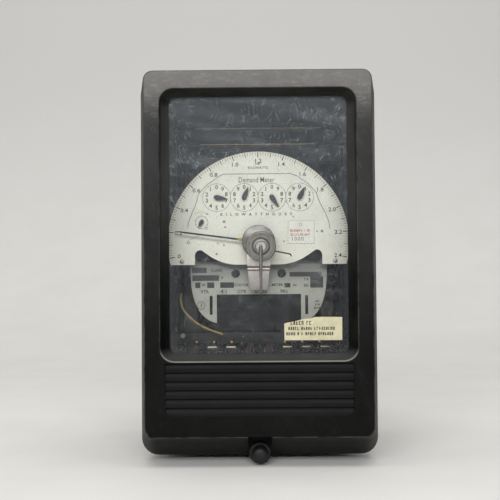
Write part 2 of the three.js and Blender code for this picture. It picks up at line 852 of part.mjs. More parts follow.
function brakeMagnet() {
  const back = chassisBack - chassisSheet - touchGap;
  const low = diskHeight - magnetHeight / 2;
  const high = diskHeight + magnetHeight / 2;
  return build(
    [block(-magnetHalfWidth, magnetHalfWidth, magnetFront, back, low, high)],
    [
      block(
        -magnetHalfWidth - 1, magnetHalfWidth + 1, magnetFront - 1, rotorY + diskRadius + 1.5,
        diskHeight - 2, diskHeight + 2,
      ),
    ],
  );
}

/** A right-hand piece turned into its left-hand twin. */
function mirrored(geometry) {
  const twin = geometry.clone().scale(-1, 1, 1);
  const index = twin.index.array;
  for (let i = 0; i < index.length; i += 3) {
    [index[i + 1], index[i + 2]] = [index[i + 2], index[i + 1]];
  }
  twin.computeVertexNormals();
  return twin;
}

// ---- assembly ----
const root = new THREE.Group();
const meter = new THREE.Group();
meter.position.set(0, -terminalEnd / 2, lift);
root.add(meter);
const caseGroup = new THREE.Group();
const chassis = new THREE.Group();
const cover = new THREE.Group();
meter.add(caseGroup, chassis, cover);

add(caseGroup, "case_shell", caseShell(), blackSteel);
add(caseGroup, "cover_gasket", coverGasket(), rubber);
add(caseGroup, "cover_stud", coverStud(), brightSteel);
add(caseGroup, "terminal_board", terminalBoard(), moulding);
terminalPlaces().forEach(([x, z], i) => {
  add(caseGroup, `terminal_stud_${i + 1}`, terminalStud(), brass).position.set(x, 0, z);
});
const panelStudX = (caseHalf + rimHalf - flangeInset) / 2;
[[-1, panelStudLow], [1, panelStudLow], [-1, panelStudHigh], [1, panelStudHigh]].forEach(([side, z], i) => {
  add(caseGroup, `panel_stud_${i + 1}`, panelStud(), brightSteel).position.set(side * panelStudX, 0, z);
});
add(caseGroup, "switch_base", switchBase(), moulding);
for (let i = 0; i < poleCount; i++) {
  const blade = add(caseGroup, `test_switch_${i + 1}`, switchBlade(), copper);
  blade.position.set(poleX(i), bladePivotY, bladePivotZ);
}

add(chassis, "chassis_frame", chassisFrame(), darkSheet);
add(chassis, "contact_block", contactBlock(), moulding);
add(chassis, "dial_plate", dialPlate(), dialWhite);
add(chassis, "name_plate", namePlate(), plateGrey);
add(chassis, "register_frame", registerFrame(), brass);
add(chassis, "hub_housing", hubHousing(), brightSteel);
add(chassis, "hub_bracket", hubBracket(), brightSteel);
add(chassis, "lower_bearing", lowerBearing(), brass);
add(chassis, "upper_bearing", upperBearing(), brass);
const core = statorCore();
const voltageCoil = coil(diskHeight + airGap + 2, coreHigh - 8 - touchGap);
const currentCoil = coil(coreLow + 8 + touchGap, diskHeight - airGap - 1.5);
add(chassis, "stator_core_right", core, laminations);
add(chassis, "stator_core_left", mirrored(core), laminations);
add(chassis, "voltage_coil_right", voltageCoil, coilTape);
add(chassis, "voltage_coil_left", mirrored(voltageCoil), coilTape);
add(chassis, "current_coil_right", currentCoil, coilTape);
add(chassis, "current_coil_left", mirrored(currentCoil), coilTape);
add(chassis, "brake_magnet", brakeMagnet(), magnetGrey);
const motorY = registerBack + 4;
const motor = roundY(motorRadius, motorY, motorY + motorLength, -28, dialHeight + 38, 24);
add(chassis, "timing_motor", motor, aluminium);
const leadRoute = [
  [-58, 63, 114], [-57.6, 55, 109], [-55.5, 51, 103], [-50, 49.1, 96.6],
  [-42.5, 48.8, 91], [-34.5, 48.8, 87.4], [-26.5, 48.9, 84.6],
];
add(chassis, "lead_wire", wire(leadRoute, 0.8, 30, 4), leadYellow);

add(chassis, "rotor_disk", disk(), aluminium);
add(chassis, "rotor_spindle", spindle(), brightSteel);
arborPlaces().forEach(([x, z], i) => {
  const isTest = i === registerAngles.length;
  const length = isTest ? testPointerLength : registerPointerLength;
  const angle = isTest ? testAngle : registerAngles[i];
  const name = isTest ? "test_pointer" : `register_pointer_${i + 1}`;
  const pointer = add(chassis, name, teardrop(length, isTest ? 3 : 3.6), pointerBlue);
  pointer.position.set(x, dialDepth, z);
  pointer.rotation.y = degrees(angle);
});
const needle = add(chassis, "demand_pointer", demandPointer(), needleBlack);
needle.position.set(0, 0, dialHeight);
needle.rotation.y = degrees(needleAngle);
add(chassis, "reset_lever", resetLever(), brightSteel).position.set(leverX, 0, dialHeight - leverDrop);

add(cover, "cover_frame", coverFrame(), moulding);
const gasketEnd = windowGasketFront + windowGasketThickness;
add(cover, "window_gasket", windowRing(paneLap, windowGasketFront, gasketEnd, true), rubber);
add(cover, "window_pane", windowRing(paneLap, paneFront, paneFront + paneThickness, false), clear);
add(cover, "thumb_nut", thumbNut(), moulding).position.set(0, 0, nutHeight);

export default root;
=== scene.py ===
import random
from math import asin, cos, degrees, pi, radians, sin, sqrt

import bmesh
import bpy
from mathutils import Matrix, Vector


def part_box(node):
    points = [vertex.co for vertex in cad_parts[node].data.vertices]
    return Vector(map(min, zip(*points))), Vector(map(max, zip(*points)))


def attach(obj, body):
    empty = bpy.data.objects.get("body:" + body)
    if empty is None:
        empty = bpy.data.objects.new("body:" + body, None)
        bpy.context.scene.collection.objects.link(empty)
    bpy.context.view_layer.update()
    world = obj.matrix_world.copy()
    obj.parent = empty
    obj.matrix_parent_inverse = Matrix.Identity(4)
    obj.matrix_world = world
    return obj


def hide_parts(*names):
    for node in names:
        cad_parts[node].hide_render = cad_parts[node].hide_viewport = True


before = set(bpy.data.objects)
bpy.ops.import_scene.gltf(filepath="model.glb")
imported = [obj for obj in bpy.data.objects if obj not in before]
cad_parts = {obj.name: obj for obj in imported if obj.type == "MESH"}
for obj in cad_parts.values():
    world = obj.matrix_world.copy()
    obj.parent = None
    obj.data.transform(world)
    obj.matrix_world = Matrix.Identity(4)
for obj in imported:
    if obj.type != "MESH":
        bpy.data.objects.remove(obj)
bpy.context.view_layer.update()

# ---- the maker's frame, in millimetres ----
# x is to the right, y runs back from the cover's face, and z runs up from its rim.
cover_corner, cover_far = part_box("cover_frame")
TO_ROW = Matrix.Translation((0, cover_corner.y, cover_corner.z)) @ Matrix.Scale(0.001, 4)
TO_MAKER = TO_ROW.inverted()
FACE_Y = cover_corner.y * 1000
RIM_Z = cover_corner.z * 1000


def span(node):
    """A frame node's lowest and highest corners in the maker's frame."""
    return [TO_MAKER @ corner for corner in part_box(node)]


# ---- sizes taken from the frame ----
RIM_HALF = span("cover_frame")[1].x
COVER_DEPTH = span("cover_frame")[1].y
COVER_HEIGHT = span("cover_frame")[1].z
DIAL_FACE = span("dial_plate")[0].y
DIAL_THICKNESS = span("dial_plate")[1].y - DIAL_FACE
DIAL_RADIUS = span("dial_plate")[1].x
DIAL_Z = span("dial_plate")[1].z - DIAL_RADIUS
PLATE_FACE = span("name_plate")[0].y
PLATE_BACK = span("name_plate")[1].y
PANE_FRONT = span("window_pane")[0].y
BLOCK_LOW, BLOCK_HIGH = span("contact_block")

# ---- sizes of the cover ----
WALL = 3.2
RIM_DEPTH = 4.0
RIM_CORNER = 12.0
FACE_HALF = 78.5
FACE_FOOT = 17.7
FACE_HEAD = 268.6
FACE_CORNER = 6.5
FACE_EDGE = 1.5
BEVEL_HALF = 67.9
BEVEL_FOOT = 68.2
BEVEL_HEAD = 256.3
OPENING_HALF = 61.9
OPENING_FOOT = 73.4
OPENING_HEAD = 251.8
WINDOW_DEPTH = 10.0
LOUVRE_HALF = 64.3
LOUVRE_FOOT = 31.9
LOUVRE_HEAD = 67.7
LOUVRES = 6
LOUVRE_CUT = 2.4
LIP_DEPTH = 0.12
NICHE_HALF = 8.1
NICHE_BACK = 19.3
NUT_Z = 4.4

# ---- sizes of the dial, register and nameplate, with heights above the dial's centre ----
INK = 0.05
DIAL_CHORD = -16.4
SCALE_TURN = 100.0
SCALE_TOP = 2.4
TICK_RADIUS = 65.7
NUMBER_RADIUS = 59.2
REGISTER_RISE = 32.6
REGISTER_PITCH = 20.2
REGISTER_RING = 10.2
REGISTER_ANGLES = (98.8, 21.5, 148.0, 27.6)
TEST_X = -41.4
TEST_RISE = 14.6
TEST_RING = 4.7
TEST_ANGLE = 212.0
NEEDLE_ANGLE = -82.5
NEEDLE_REACH = 60.4
LEVER_X = 1.7
LEVER_DROP = 3.7
HUB_RADIUS = 12.0
HUB_FACE = 35.6
CAP_RADIUS = 10.8
CAP_FACE = 30.0
RESET_FACE = 28.5
ROD_LENGTH = 33.6
TAIL_FACE = 34.3
BRACKET_HEAD = -9
BRACKET_BEND = -19.8
BRACKET_FOOT = -35

# ---- sizes of the switches and the fastenings ----
PITCH = 13.75
POLES = [(i - 4.5) * PITCH for i in range(10)]
CURRENT_POLES = (2, 3, 6, 7, 8)
LEAD_RADIUS = 0.8
TERMINAL_RADIUS = 2.4
PANEL_SCREW_RADIUS = 3.0
NUT_STUD_RADIUS = 2.3
SEAM_X = 58
EARTH_Z = 96

# ---- camera, in metres and degrees ----
CAMERA_REACH = 0.65
CAMERA_HEIGHT = 0.1281
CAMERA_TILT = 1.74
CAMERA_YAW = 0.51
CAMERA_ROLL = -0.43
LENS_LENGTH = 68.7


# ---- materials ----
class Value:
    """A node's output, on which ordinary arithmetic works."""

    def __init__(self, surface, socket):
        self.surface = surface
        self.socket = socket

    def maths(self, operation, *others):
        sockets = dict(enumerate((self, *others)))
        return self.surface.node("ShaderNodeMath", {"operation": operation}, sockets)

    def __add__(self, other):
        return self.maths("ADD", other)

    __radd__ = __add__

    def __mul__(self, other):
        return self.maths("MULTIPLY", other)

    __rmul__ = __mul__

    def __sub__(self, other):
        return self.maths("SUBTRACT", other)

    def __rsub__(self, other):
        return self.surface.node("ShaderNodeMath", {"operation": "SUBTRACT"}, {0: other, 1: self})

    def __abs__(self):
        return self.maths("ABSOLUTE")

    def most(self, other):
        return self.maths("MAXIMUM", other)

    def least(self, other):
        return self.maths("MINIMUM", other)

    def rise(self, low, high):
        """0 below low and 1 above high, with a soft step between; low over high makes a fall."""
        sockets = {"Value": self, "From Min": low, "From Max": high}
        return self.surface.node("ShaderNodeMapRange", {"interpolation_type": "SMOOTHSTEP"}, sockets)


class Surface:
    """A material while it is made. Sizes of patterns are in millimetres."""

    def __init__(self, name):
        self.material = bpy.data.materials.new(name)
        self.material.use_nodes = True
        self.tree = self.material.node_tree
        self.tree.nodes.clear()
        place = self.node("ShaderNodeTexCoord", output="Object")
        self.place = self.node(
            "ShaderNodeVectorMath", {"operation": "SCALE"}, {0: place, "Scale": 1000.0}
        )

    def node(self, kind, settings=None, sockets=None, output=0):
        node = self.tree.nodes.new(kind)
        for name, value in (settings or {}).items():
            setattr(node, name, value)
        for name, value in (sockets or {}).items():
            if isinstance(value, Value):
                self.tree.links.new(value.socket, node.inputs[name])
            else:
                node.inputs[name].default_value = value
        return Value(self, node.outputs[output])

    def axis(self, index):
        return self.node("ShaderNodeSeparateXYZ", sockets={0: self.place}, output=index)

    def mapped(self, size, turn=(0, 0, 0), shift=(0, 0, 0)):
        """The place in steps of size, one number or three, with the pattern turned by degrees."""
        return self.node("ShaderNodeMapping", {"vector_type": "TEXTURE"}, {
            "Vector": self.place,
            "Location": shift,
            "Rotation": [radians(angle) for angle in turn],
            "Scale": size if isinstance(size, tuple) else (size,) * 3,
        })

    def noise(self, size, detail=3.0, roughness=0.5, turn=(0, 0, 0), shift=(0, 0, 0)):
        return self.node("ShaderNodeTexNoise", sockets={
            "Vector": self.mapped(size, turn, shift),
            "Scale": 1.0,
            "Detail": detail,
            "Roughness": roughness,
        })

    def cells(self, size, output="Distance"):
        sockets = {"Vector": self.mapped(size), "Scale": 1.0}
        return self.node("ShaderNodeTexVoronoi", sockets=sockets, output=output)

    def scratches(self, length, width, turn, density=0.5, shift=(0, 0, 0)):
        """Thin short strokes that run along x before the turn."""
        cluster = self.noise(length * 1.5, 1, shift=shift)
        strokes = self.noise((length, width, width), 1.0, 0.4, turn, shift)
        patches = (cluster - 0.5) * 2 + density
        return strokes.rise(0.66, 0.72) * patches.rise(0.3, 0.9)

    def specks(self, size, radius, share):
        """Small round spots in a share of the cells."""
        spot = self.cells(size).rise(radius / size, radius / size * 0.5)
        pick = self.node("ShaderNodeSeparateColor", sockets={0: self.cells(size, "Color")})
        return spot * pick.rise(1 - share, 1 - share + 0.02)

    def tint(self, factor, below, above):
        """Goes from one colour to another as the factor goes from 0 to 1."""
        sockets = {0: factor, 6: colour(below), 7: colour(above)}
        return self.node("ShaderNodeMix", {"data_type": "RGBA", "clamp_factor": True}, sockets, 2)

    def relief(self, height, depth, strength=1.0):
        return self.node("ShaderNodeBump", sockets={
            "Height": height,
            "Distance": depth * 0.001,
            "Strength": strength,
        })

    def principled(self, **sockets):
        named = {name.replace("_", " "): value for name, value in sockets.items()}
        named["Base Color"] = colour(named["Base Color"])
        return self.node("ShaderNodeBsdfPrincipled", sockets=named)

    def done(self, shader):
        """Joins a shader to the output and gives the material."""
        output = self.tree.nodes.new("ShaderNodeOutputMaterial")
        self.tree.links.new(shader.socket, output.inputs["Surface"])
        return self.material

    def coated(self, **sockets):
        """The material, all of it one principled surface."""
        return self.done(self.principled(**sockets))


def colour(value):
    """Three numbers as a colour that a socket takes; a value from the nodes stays as it is."""
    return value if isinstance(value, Value) else (*value, 1)


def moulding_finish():
    """Black phenolic moulding: satin, chalky towards the head, rubbed pale along its edges, with
    painted highlights on the head, the edges, the window's sill and the bevel's sides.

    Heights are above the meter's lowest point and depths behind the cover's face, in millimetres.
    """
    s = Surface("black_moulding")
    height = s.axis(2)
    depth = s.axis(1) - FACE_Y
    cloud = s.noise(38, 4, 0.6)
    patch = s.noise(9, 4, 0.6)
    grain = s.noise(0.7, 2)
    head = height.rise(60, 262)
    rub = height.rise(264, 271.5) * s.noise((9, 3, 1.2), 4, 0.75).rise(0.38, 0.72)
    louvred = abs(s.axis(0)).rise(66, 65) * height.rise(33, 35) * height.rise(71.5, 70.8)
    # The face's rounded edge: rubbed pale, and a painted highlight as well.
    edge = depth.rise(0.05, 0.25) * depth.rise(1.5, 0.8) * patch.rise(0.3, 0.6) * (1 - louvred)
    front = depth.rise(0.9, 0.1)
    # Chalky haze along the front below the head's edge, brightened further as a painted highlight of
    # the light from above.
    chalk_and_sheen = height.rise(222, 266) * front
    # Painted highlights on the window's sill: a bright line along its rounded nose and a paler cove
    # behind it.
    near_sill = height.rise(70.9, 71.3) * height.rise(82, 74) * abs(s.axis(0)).rise(69.3, 67)
    painted_sill_nose = near_sill * depth.rise(0.02, 0.2) * depth.rise(2.4, 0.9)
    painted_sill_cove = near_sill * depth.rise(0.9, 2.2)
    nicks = s.scratches(9, 0.35, (0, 62, 0), 0.45)
    nicks += s.scratches(6, 0.3, (0, -35, 0), 0.4, (40, 9, 3))
    specks = s.specks(9, 0.3, 0.14)
    dust = (cloud * 0.7 + patch * 0.5).rise(0.42, 0.85) * (head * 0.8 + 0.2)
    tone = s.tint(dust, (0.0016, 0.0016, 0.0014), (0.017, 0.017, 0.016))
    # Paler towards the head: partly sun fading, partly a painted highlight of the light from above.
    tone = s.tint(head * (cloud * 0.3 + 0.3) * (front * 0.7 + 0.3), tone, (0.060, 0.060, 0.060))
    tone = s.tint(chalk_and_sheen * chalk_and_sheen * (0.75 + patch * 0.4), tone, (0.155, 0.15, 0.145))
    tone = s.tint(edge * 0.9, tone, (0.070, 0.067, 0.060))
    # Painted highlight on the two sides of the window's bevel.
    painted_bevel_sheen = abs(s.axis(0)).rise(69, 66) * height.rise(120, 200) * height.rise(252, 246)
    painted_bevel_sheen *= depth.rise(1.6, 4)
    tone = s.tint(painted_bevel_sheen * (cloud * 0.6 + 0.3), tone, (0.055, 0.055, 0.052))
    # The painted sill highlights.
    tone = s.tint(painted_sill_cove * (patch * 0.5 + 0.5), tone, (0.060, 0.060, 0.056))
    tone = s.tint(painted_sill_nose * (cloud * 0.6 + 0.4), tone, (0.30, 0.285, 0.255))
    tone = s.tint(rub * 0.3, tone, (0.15, 0.13, 0.11))
    scuff = s.noise((6, 6, 2), 5, 0.85).rise(0.5, 0.68) * height.rise(225, 262) * front
    tone = s.tint(scuff * 0.55, tone, (0.30, 0.265, 0.23))
    tone = s.tint(nicks * (head * 0.35 + 0.12), tone, (0.13, 0.12, 0.11))
    tone = s.tint(specks * 0.6, tone, (0.34, 0.31, 0.26))
    rough = 0.40 - head * 0.05 + patch * 0.14 + dust * 0.1 + nicks * 0.1
    return s.coated(
        Base_Color=tone,
        Roughness=rough,
        Specular_IOR_Level=0.105,
        Normal=s.relief(grain * 0.25 + patch * 0.5 - nicks * 0.5 + rub * 0.4, 0.07, 0.5),
    )


def enamel_finish(name, dark, pale, gloss=0.35, wear=0.12, peel_depth=0.03):
    """Baked enamel on sheet steel, faintly orange-peeled, with rubbed marks and dust."""
    s = Surface(name)
    cloud = s.noise(30, 4, 0.6)
    peel = s.noise(1.6, 2)
    marks = s.scratches(14, 0.4, (20, 30, 10), 0.4)
    dust = cloud.rise(0.4, 0.75)
    tone = s.tint(dust, dark, pale)
    tone = s.tint(marks * wear, tone, (0.32, 0.31, 0.29))
    tone = s.tint(s.specks(6, 0.3, 0.12) * 0.4, tone, (0.3, 0.28, 0.24))
    return s.coated(
        Base_Color=tone,
        Roughness=gloss + cloud * 0.25,
        Specular_IOR_Level=0.25,
        Normal=s.relief(peel + marks * -0.5, peel_depth, 0.5),
    )


def rubber_finish():
    """Black rubber with a grey bloom."""
    s = Surface("gasket_rubber")
    bloom = s.noise(5, 4, 0.65)
    tone = s.tint(bloom.rise(0.4, 0.8), (0.012, 0.012, 0.012), (0.04, 0.039, 0.037))
    return s.coated(
        Base_Color=tone, Roughness=0.72 + bloom * 0.2, Normal=s.relief(s.noise(0.6, 2), 0.05, 0.5)
    )


def window_finish():
    """Clear moulded plastic: a dusty film, thicker to the head and the edges, and hair scratches."""
    s = Surface("clear_window")
    height = s.axis(2)
    across = s.axis(0)
    film = s.noise(26, 4, 0.6)
    wipe = s.noise((60, 60, 9), 3, 0.6, (0, 12, 0))
    head = height.rise(40, 250)
    rim = height.rise(83, 76).most(height.rise(249, 255)).most(abs(across).rise(57, 62))
    hairs = (
        s.scratches(7, 0.3, (0, 65, 0), 0.5)
        + s.scratches(5, 0.3, (0, -58, 0), 0.5, (13, 4, 71))
        + s.scratches(12, 0.3, (0, 8, 0), 0.3, (3, 44, 9))
    )
    specks = s.specks(5, 0.4, 0.3)
    haze = head * head * 0.042 + film.rise(0.35, 0.8) * 0.015
    haze += wipe.rise(0.45, 0.8) * (head * 0.04 + 0.006)
    veil = (haze + rim * 0.02 + 0.003 + hairs * (0.2 + head * 0.3) + specks * 0.5).least(0.9)
    dusty = s.principled(Base_Color=(0.48, 0.52, 0.56), Roughness=0.6)
    clear = s.node("ShaderNodeBsdfTransparent", sockets={"Color": (0.985, 0.99, 0.985, 1)})
    polish = s.node("ShaderNodeBsdfGlossy", sockets={
        "Color": (1, 1, 1, 1), "Roughness": 0.16, "Normal": s.relief(film, 0.3, 0.25),
    })
    body = s.node("ShaderNodeMixShader", sockets={0: 0.010, 1: clear, 2: polish})
    return s.done(s.node("ShaderNodeMixShader", sockets={0: veil, 1: body, 2: dusty}))


def dial_finish():
    """Cream enamel on the dial: warm at the middle, greyer out to the rim, with a few brown spots."""
    s = Surface("dial_enamel")
    across = s.axis(0)
    height = s.axis(2) - (DIAL_Z + RIM_Z)
    reach = (across * across + height * height).maths("SQRT")
    age = s.noise(18, 4, 0.6)
    rust = s.specks(11, 0.5, 0.1)
    edge = reach.rise(58, 66.3)
    foot = height.rise(20, -16)
    tone = s.tint(age.rise(0.35, 0.75), (0.81, 0.795, 0.70), (0.74, 0.725, 0.63))
    tone = s.tint(edge * 0.35 + foot * 0.15, tone, (0.60, 0.56, 0.45))
    tone = s.tint(rust * 0.5, tone, (0.30, 0.20, 0.10))
    rim = reach.rise(65.7, 66.2)
    tone = s.tint(rim * 0.6, tone, (0.34, 0.26, 0.15))
    return s.coated(
        Base_Color=tone, Roughness=0.42 + age * 0.2, Normal=s.relief(s.noise(1.2, 3), 0.02, 0.4)
    )


def plate_finish():
    """Printed nameplate: etched aluminium gone grey, with a painted shadow of the dial across its top.
    """
    s = Surface("nameplate_metal")
    height = s.axis(2)
    grain = s.noise((14, 4, 0.25), 3, 0.6)
    age = s.noise(14, 4, 0.65)
    tone = s.tint(age.rise(0.3, 0.8), (0.40, 0.40, 0.35), (0.30, 0.295, 0.26))
    tone = s.tint(height.rise(110, 98) * 0.2, tone, (0.5, 0.49, 0.43))
    # Painted shadow of the dial across the plate's top.
    tone = s.tint(height.rise(119, 139) * 0.8, tone, (0.13, 0.13, 0.125))
    tone = s.tint(s.specks(9, 0.3, 0.15) * 0.5, tone, (0.12, 0.09, 0.06))
    return s.coated(
        Base_Color=tone, Metallic=0.35 + age * 0.2, Roughness=0.44 + grain * 0.14,
        Normal=s.relief(grain, 0.012, 0.4),
    )


def metal_finish(name, bright, dull, rough=0.3, stroke=(6, 6, 0.2), tarnish=0.5):
    """Bare metal with fine tool lines, patches of tarnish and small pits."""
    s = Surface(name)
    lines = s.noise(stroke, 3, 0.6)
    patch = s.noise(6, 4, 0.65)
    pits = s.specks(2.2, 0.16, 0.2)
    tone = s.tint(patch.rise(0.4, 0.8) * tarnish, bright, dull)
    tone = s.tint(pits * 0.4, tone, [part * 0.35 for part in dull])
    return s.coated(
        Base_Color=tone, Metallic=1 - pits * 0.5, Roughness=rough + lines * 0.16 + patch * 0.14,
        Normal=s.relief(lines - pits, 0.015, 0.5),
    )


def turned_finish(name, bright, dull, x, z, rough=0.28):
    """Metal turned about an axis along y: fine rings round (x, z) in the maker's frame."""
    s = Surface(name)
    across = s.axis(0) - x
    height = s.axis(2) - (z + RIM_Z)
    reach = (across * across + height * height).maths("SQRT")
    rings = (reach * 9).maths("SINE") * 0.25 + (reach * 23 + 2).maths("SINE") * 0.2 + 0.5
    patch = s.noise(5, 4, 0.65)
    tone = s.tint(patch.rise(0.35, 0.8) * 0.7, bright, dull)
    tone = s.tint(rings.rise(0.6, 1) * 0.25, tone, [part * 0.6 for part in dull])
    return s.coated(
        Base_Color=tone, Metallic=0.9 + rings * 0.05, Roughness=rough + rings * 0.12 + patch * 0.16,
        Normal=s.relief(rings, 0.01, 0.6),
    )


def lacquer_finish(name, dark, pale, rough=0.4):
    """Thin lacquer on a stamped pointer, rubbed paler in places."""
    s = Surface(name)
    rubbed = s.noise(1.3, 4, 0.7)
    tone = s.tint(rubbed.rise(0.42, 0.75), dark, pale)
    return s.coated(
        Base_Color=tone, Roughness=rough + rubbed * 0.2, Specular_IOR_Level=0.3,
        Normal=s.relief(rubbed, 0.01, 0.4),
    )


def ink_finish(name, ink, faded, wear=0.5):
    """Printing ink, thin in places so that the ground greys it."""
    s = Surface(name)
    thin = s.noise(1.4, 4, 0.7)
    tone = s.tint(thin.rise(0.45, 0.75) * wear, ink, faded)
    return s.coated(Base_Color=tone, Roughness=0.5 + thin * 0.2)


def paper_finish(name, fresh, aged):
    """Gummed paper with creases and yellowed patches."""
    s = Surface(name)
    patch = s.noise(7, 4, 0.65)
    fibre = s.noise((1.2, 1.2, 0.3), 3, 0.7)
    tone = s.tint(patch.rise(0.35, 0.75), fresh, aged)
    tone = s.tint(s.specks(3, 0.2, 0.12) * 0.5, tone, [part * 0.4 for part in aged])
    return s.coated(
        Base_Color=tone, Roughness=0.7 + fibre * 0.15, Normal=s.relief(fibre + patch, 0.04, 0.5)
    )


def tape_finish():
    """Varnished cotton tape wound round a coil, each turn lapping the last."""
    s = Surface("varnished_tape")
    laps = (s.axis(2) * 0.9 + s.axis(0) * 0.12).maths("SINE")
    weave = s.noise((0.5, 0.5, 0.25), 2, 0.6)
    soak = s.noise(6, 4, 0.6)
    tone = s.tint(soak.rise(0.35, 0.75), (0.055, 0.028, 0.012), (0.11, 0.065, 0.03))
    tone = s.tint(laps.rise(0.8, 1) * 0.6, tone, (0.02, 0.011, 0.006))
    return s.coated(
        Base_Color=tone, Roughness=0.38 + soak * 0.25, Coat_Weight=0.2,
        Normal=s.relief(laps.rise(-1, 1) + weave * 0.3, 0.25, 0.7),
    )


def lamination_finish():
    """Stacked silicon-steel sheets seen on edge, oxidised brown-grey."""
    s = Surface("laminations")
    sheets = (s.axis(1) * 9).maths("SINE")
    rust = s.noise(4, 4, 0.65)
    tone = s.tint(rust.rise(0.4, 0.75), (0.13, 0.125, 0.12), (0.10, 0.07, 0.05))
    tone = s.tint(sheets.rise(0.5, 1) * 0.6, tone, (0.03, 0.028, 0.026))
    return s.coated(
        Base_Color=tone, Metallic=0.7 - rust * 0.3, Roughness=0.4 + rust * 0.3,
        Normal=s.relief(sheets.rise(-1, 1), 0.08, 0.6),
    )


def lead_finish():
    """Aged yellow insulation, darker where it has been handled."""
    s = Surface("lead_insulation")
    grime = s.noise(5, 4, 0.6)
    tone = s.tint(grime.rise(0.35, 0.75), (0.33, 0.24, 0.065), (0.16, 0.12, 0.045))
    return s.coated(
        Base_Color=tone, Roughness=0.4 + grime * 0.25, Normal=s.relief(s.noise(0.5, 2), 0.04, 0.5)
    )


moulding = moulding_finish()
enamel = enamel_finish("case_enamel", (0.012, 0.012, 0.013), (0.032, 0.031, 0.030))
dark_sheet = enamel_finish(
    "chassis_enamel", (0.0055, 0.006, 0.0065), (0.014, 0.015, 0.016), 0.5, 0.1, 0.003
)
rubber = rubber_finish()
window = window_finish()
dial_enamel = dial_finish()
plate_metal = plate_finish()
steel = metal_finish("bright_steel", (0.36, 0.34, 0.31), (0.18, 0.16, 0.14))
apron_steel = metal_finish(
    "apron_steel", (0.40, 0.365, 0.355), (0.27, 0.235, 0.225), 0.42, (6, 6, 0.3)
)
# Paler than the apron's steel: the bracket's bright sheet with a painted highlight on its upper fold.
pale_steel = metal_finish(
    "bracket_steel", (0.62, 0.58, 0.56), (0.40, 0.35, 0.32), 0.34, (0.3, 6, 6)
)
disk_metal = metal_finish(
    "disk_aluminium", (0.66, 0.67, 0.68), (0.45, 0.45, 0.44), 0.26, (5, 5, 5)
)
brass = metal_finish("brass", (0.60, 0.44, 0.18), (0.26, 0.17, 0.08), 0.3)
lever_steel = metal_finish("lever_steel", (0.40, 0.38, 0.35), (0.20, 0.18, 0.16), 0.3)
# A darkened copy of the lever's steel: painted shade for the reset rod's edges.
shaded_rod_steel = metal_finish("shaded_rod_steel", (0.075, 0.07, 0.062), (0.04, 0.036, 0.03), 0.4)
dark_copper = metal_finish("dark_copper", (0.050, 0.032, 0.022), (0.022, 0.016, 0.013), 0.55)
tin = metal_finish("tinned_plate", (0.72, 0.66, 0.50), (0.42, 0.36, 0.26), 0.4)
hub_metal = turned_finish("hub_steel", (0.19, 0.18, 0.16), (0.09, 0.083, 0.07), 0, DIAL_Z)
cap_metal = turned_finish(
    "hub_cap_steel", (0.21, 0.195, 0.17), (0.10, 0.09, 0.075), LEVER_X, DIAL_Z - LEVER_DROP
)
magnet_paint = enamel_finish("magnet_paint", (0.09, 0.095, 0.10), (0.16, 0.165, 0.17), 0.45)
tape = tape_finish()
laminations = lamination_finish()
insulation = lead_finish()
pointer_lacquer = lacquer_finish("pointer_lacquer", (0.030, 0.037, 0.050), (0.075, 0.085, 0.10))
needle_lacquer = lacquer_finish("needle_lacquer", (0.012, 0.012, 0.013), (0.05, 0.048, 0.045))
black_ink = ink_finish("black_ink", (0.020, 0.020, 0.020), (0.10, 0.098, 0.09), 0.4)
grey_ink = ink_finish("grey_ink", (0.08, 0.078, 0.072), (0.2, 0.195, 0.18))
red_ink = ink_finish("red_ink", (0.50, 0.07, 0.05), (0.55, 0.22, 0.17))
plate_ink = ink_finish("plate_ink", (0.022, 0.022, 0.022), (0.06, 0.058, 0.052))
white_paper = paper_finish("white_paper", (0.82, 0.81, 0.745), (0.75, 0.73, 0.65))
cream_paper = paper_finish("cream_paper", (0.62, 0.575, 0.39), (0.50, 0.455, 0.29))
seal_paint = lacquer_finish("seal_paint", (0.42, 0.26, 0.05), (0.55, 0.38, 0.10), 0.5)
brown_metal = metal_finish("brown_metal_finish", (0.22, 0.155, 0.085), (0.10, 0.075, 0.05), 0.4)
dull_rivet = metal_finish("dull_rivet", (0.30, 0.29, 0.25), (0.20, 0.18, 0.14), 0.5)
stain = ink_finish("brown_stain", (0.40, 0.30, 0.14), (0.55, 0.50, 0.36))
# Grey-brown ink for the painted shadow line round the dial's label.
painted_label_shadow = ink_finish("painted_label_shadow", (0.36, 0.33, 0.26), (0.60, 0.57, 0.48))
faded_ink = ink_finish("faded_ink", (0.02, 0.02, 0.018), (0.16, 0.145, 0.10), 0.5)
bar_moulding = enamel_finish(
    "bar_moulding", (0.006, 0.006, 0.006), (0.018, 0.0175, 0.0165), 0.5, 0.1, 0.012
)
dark_shellac = lacquer_finish("dark_shellac", (0.005, 0.005, 0.005), (0.016, 0.016, 0.016))


# ---- shapes ----
LEAST_FOLD = 35.0
WELD = 0.0005
CAPITAL_SHARE = 0.73
SKIN_STEP = 1000


def eased(bm, edge, segments=2):
    """Turns the faces outwards and rounds every edge that folds by more than the least fold."""
    bmesh.ops.recalc_face_normals(bm, faces=bm.faces)
    if edge:
        sharp = [
            e for e in bm.edges
            if len(e.link_faces) == 2 and e.calc_face_angle() > radians(LEAST_FOLD)
        ]
        bmesh.ops.bevel(
            bm, geom=sharp, offset=edge, affect="EDGES", segments=segments, profile=0.5,
            material=-1, clamp_overlap=True,
        )
    return bm


def block(x, y, z, edge=0.3, segments=2):
    """A block between the low and high given in x, y and z."""
    bm = bmesh.new()
    bmesh.ops.create_cube(bm, size=1)
    low, high = Vector((x[0], y[0], z[0])), Vector((x[1], y[1], z[1]))
    bmesh.ops.scale(bm, vec=high - low, verts=bm.verts)
    bmesh.ops.translate(bm, vec=(low + high) / 2, verts=bm.verts)
    return eased(bm, edge, segments)


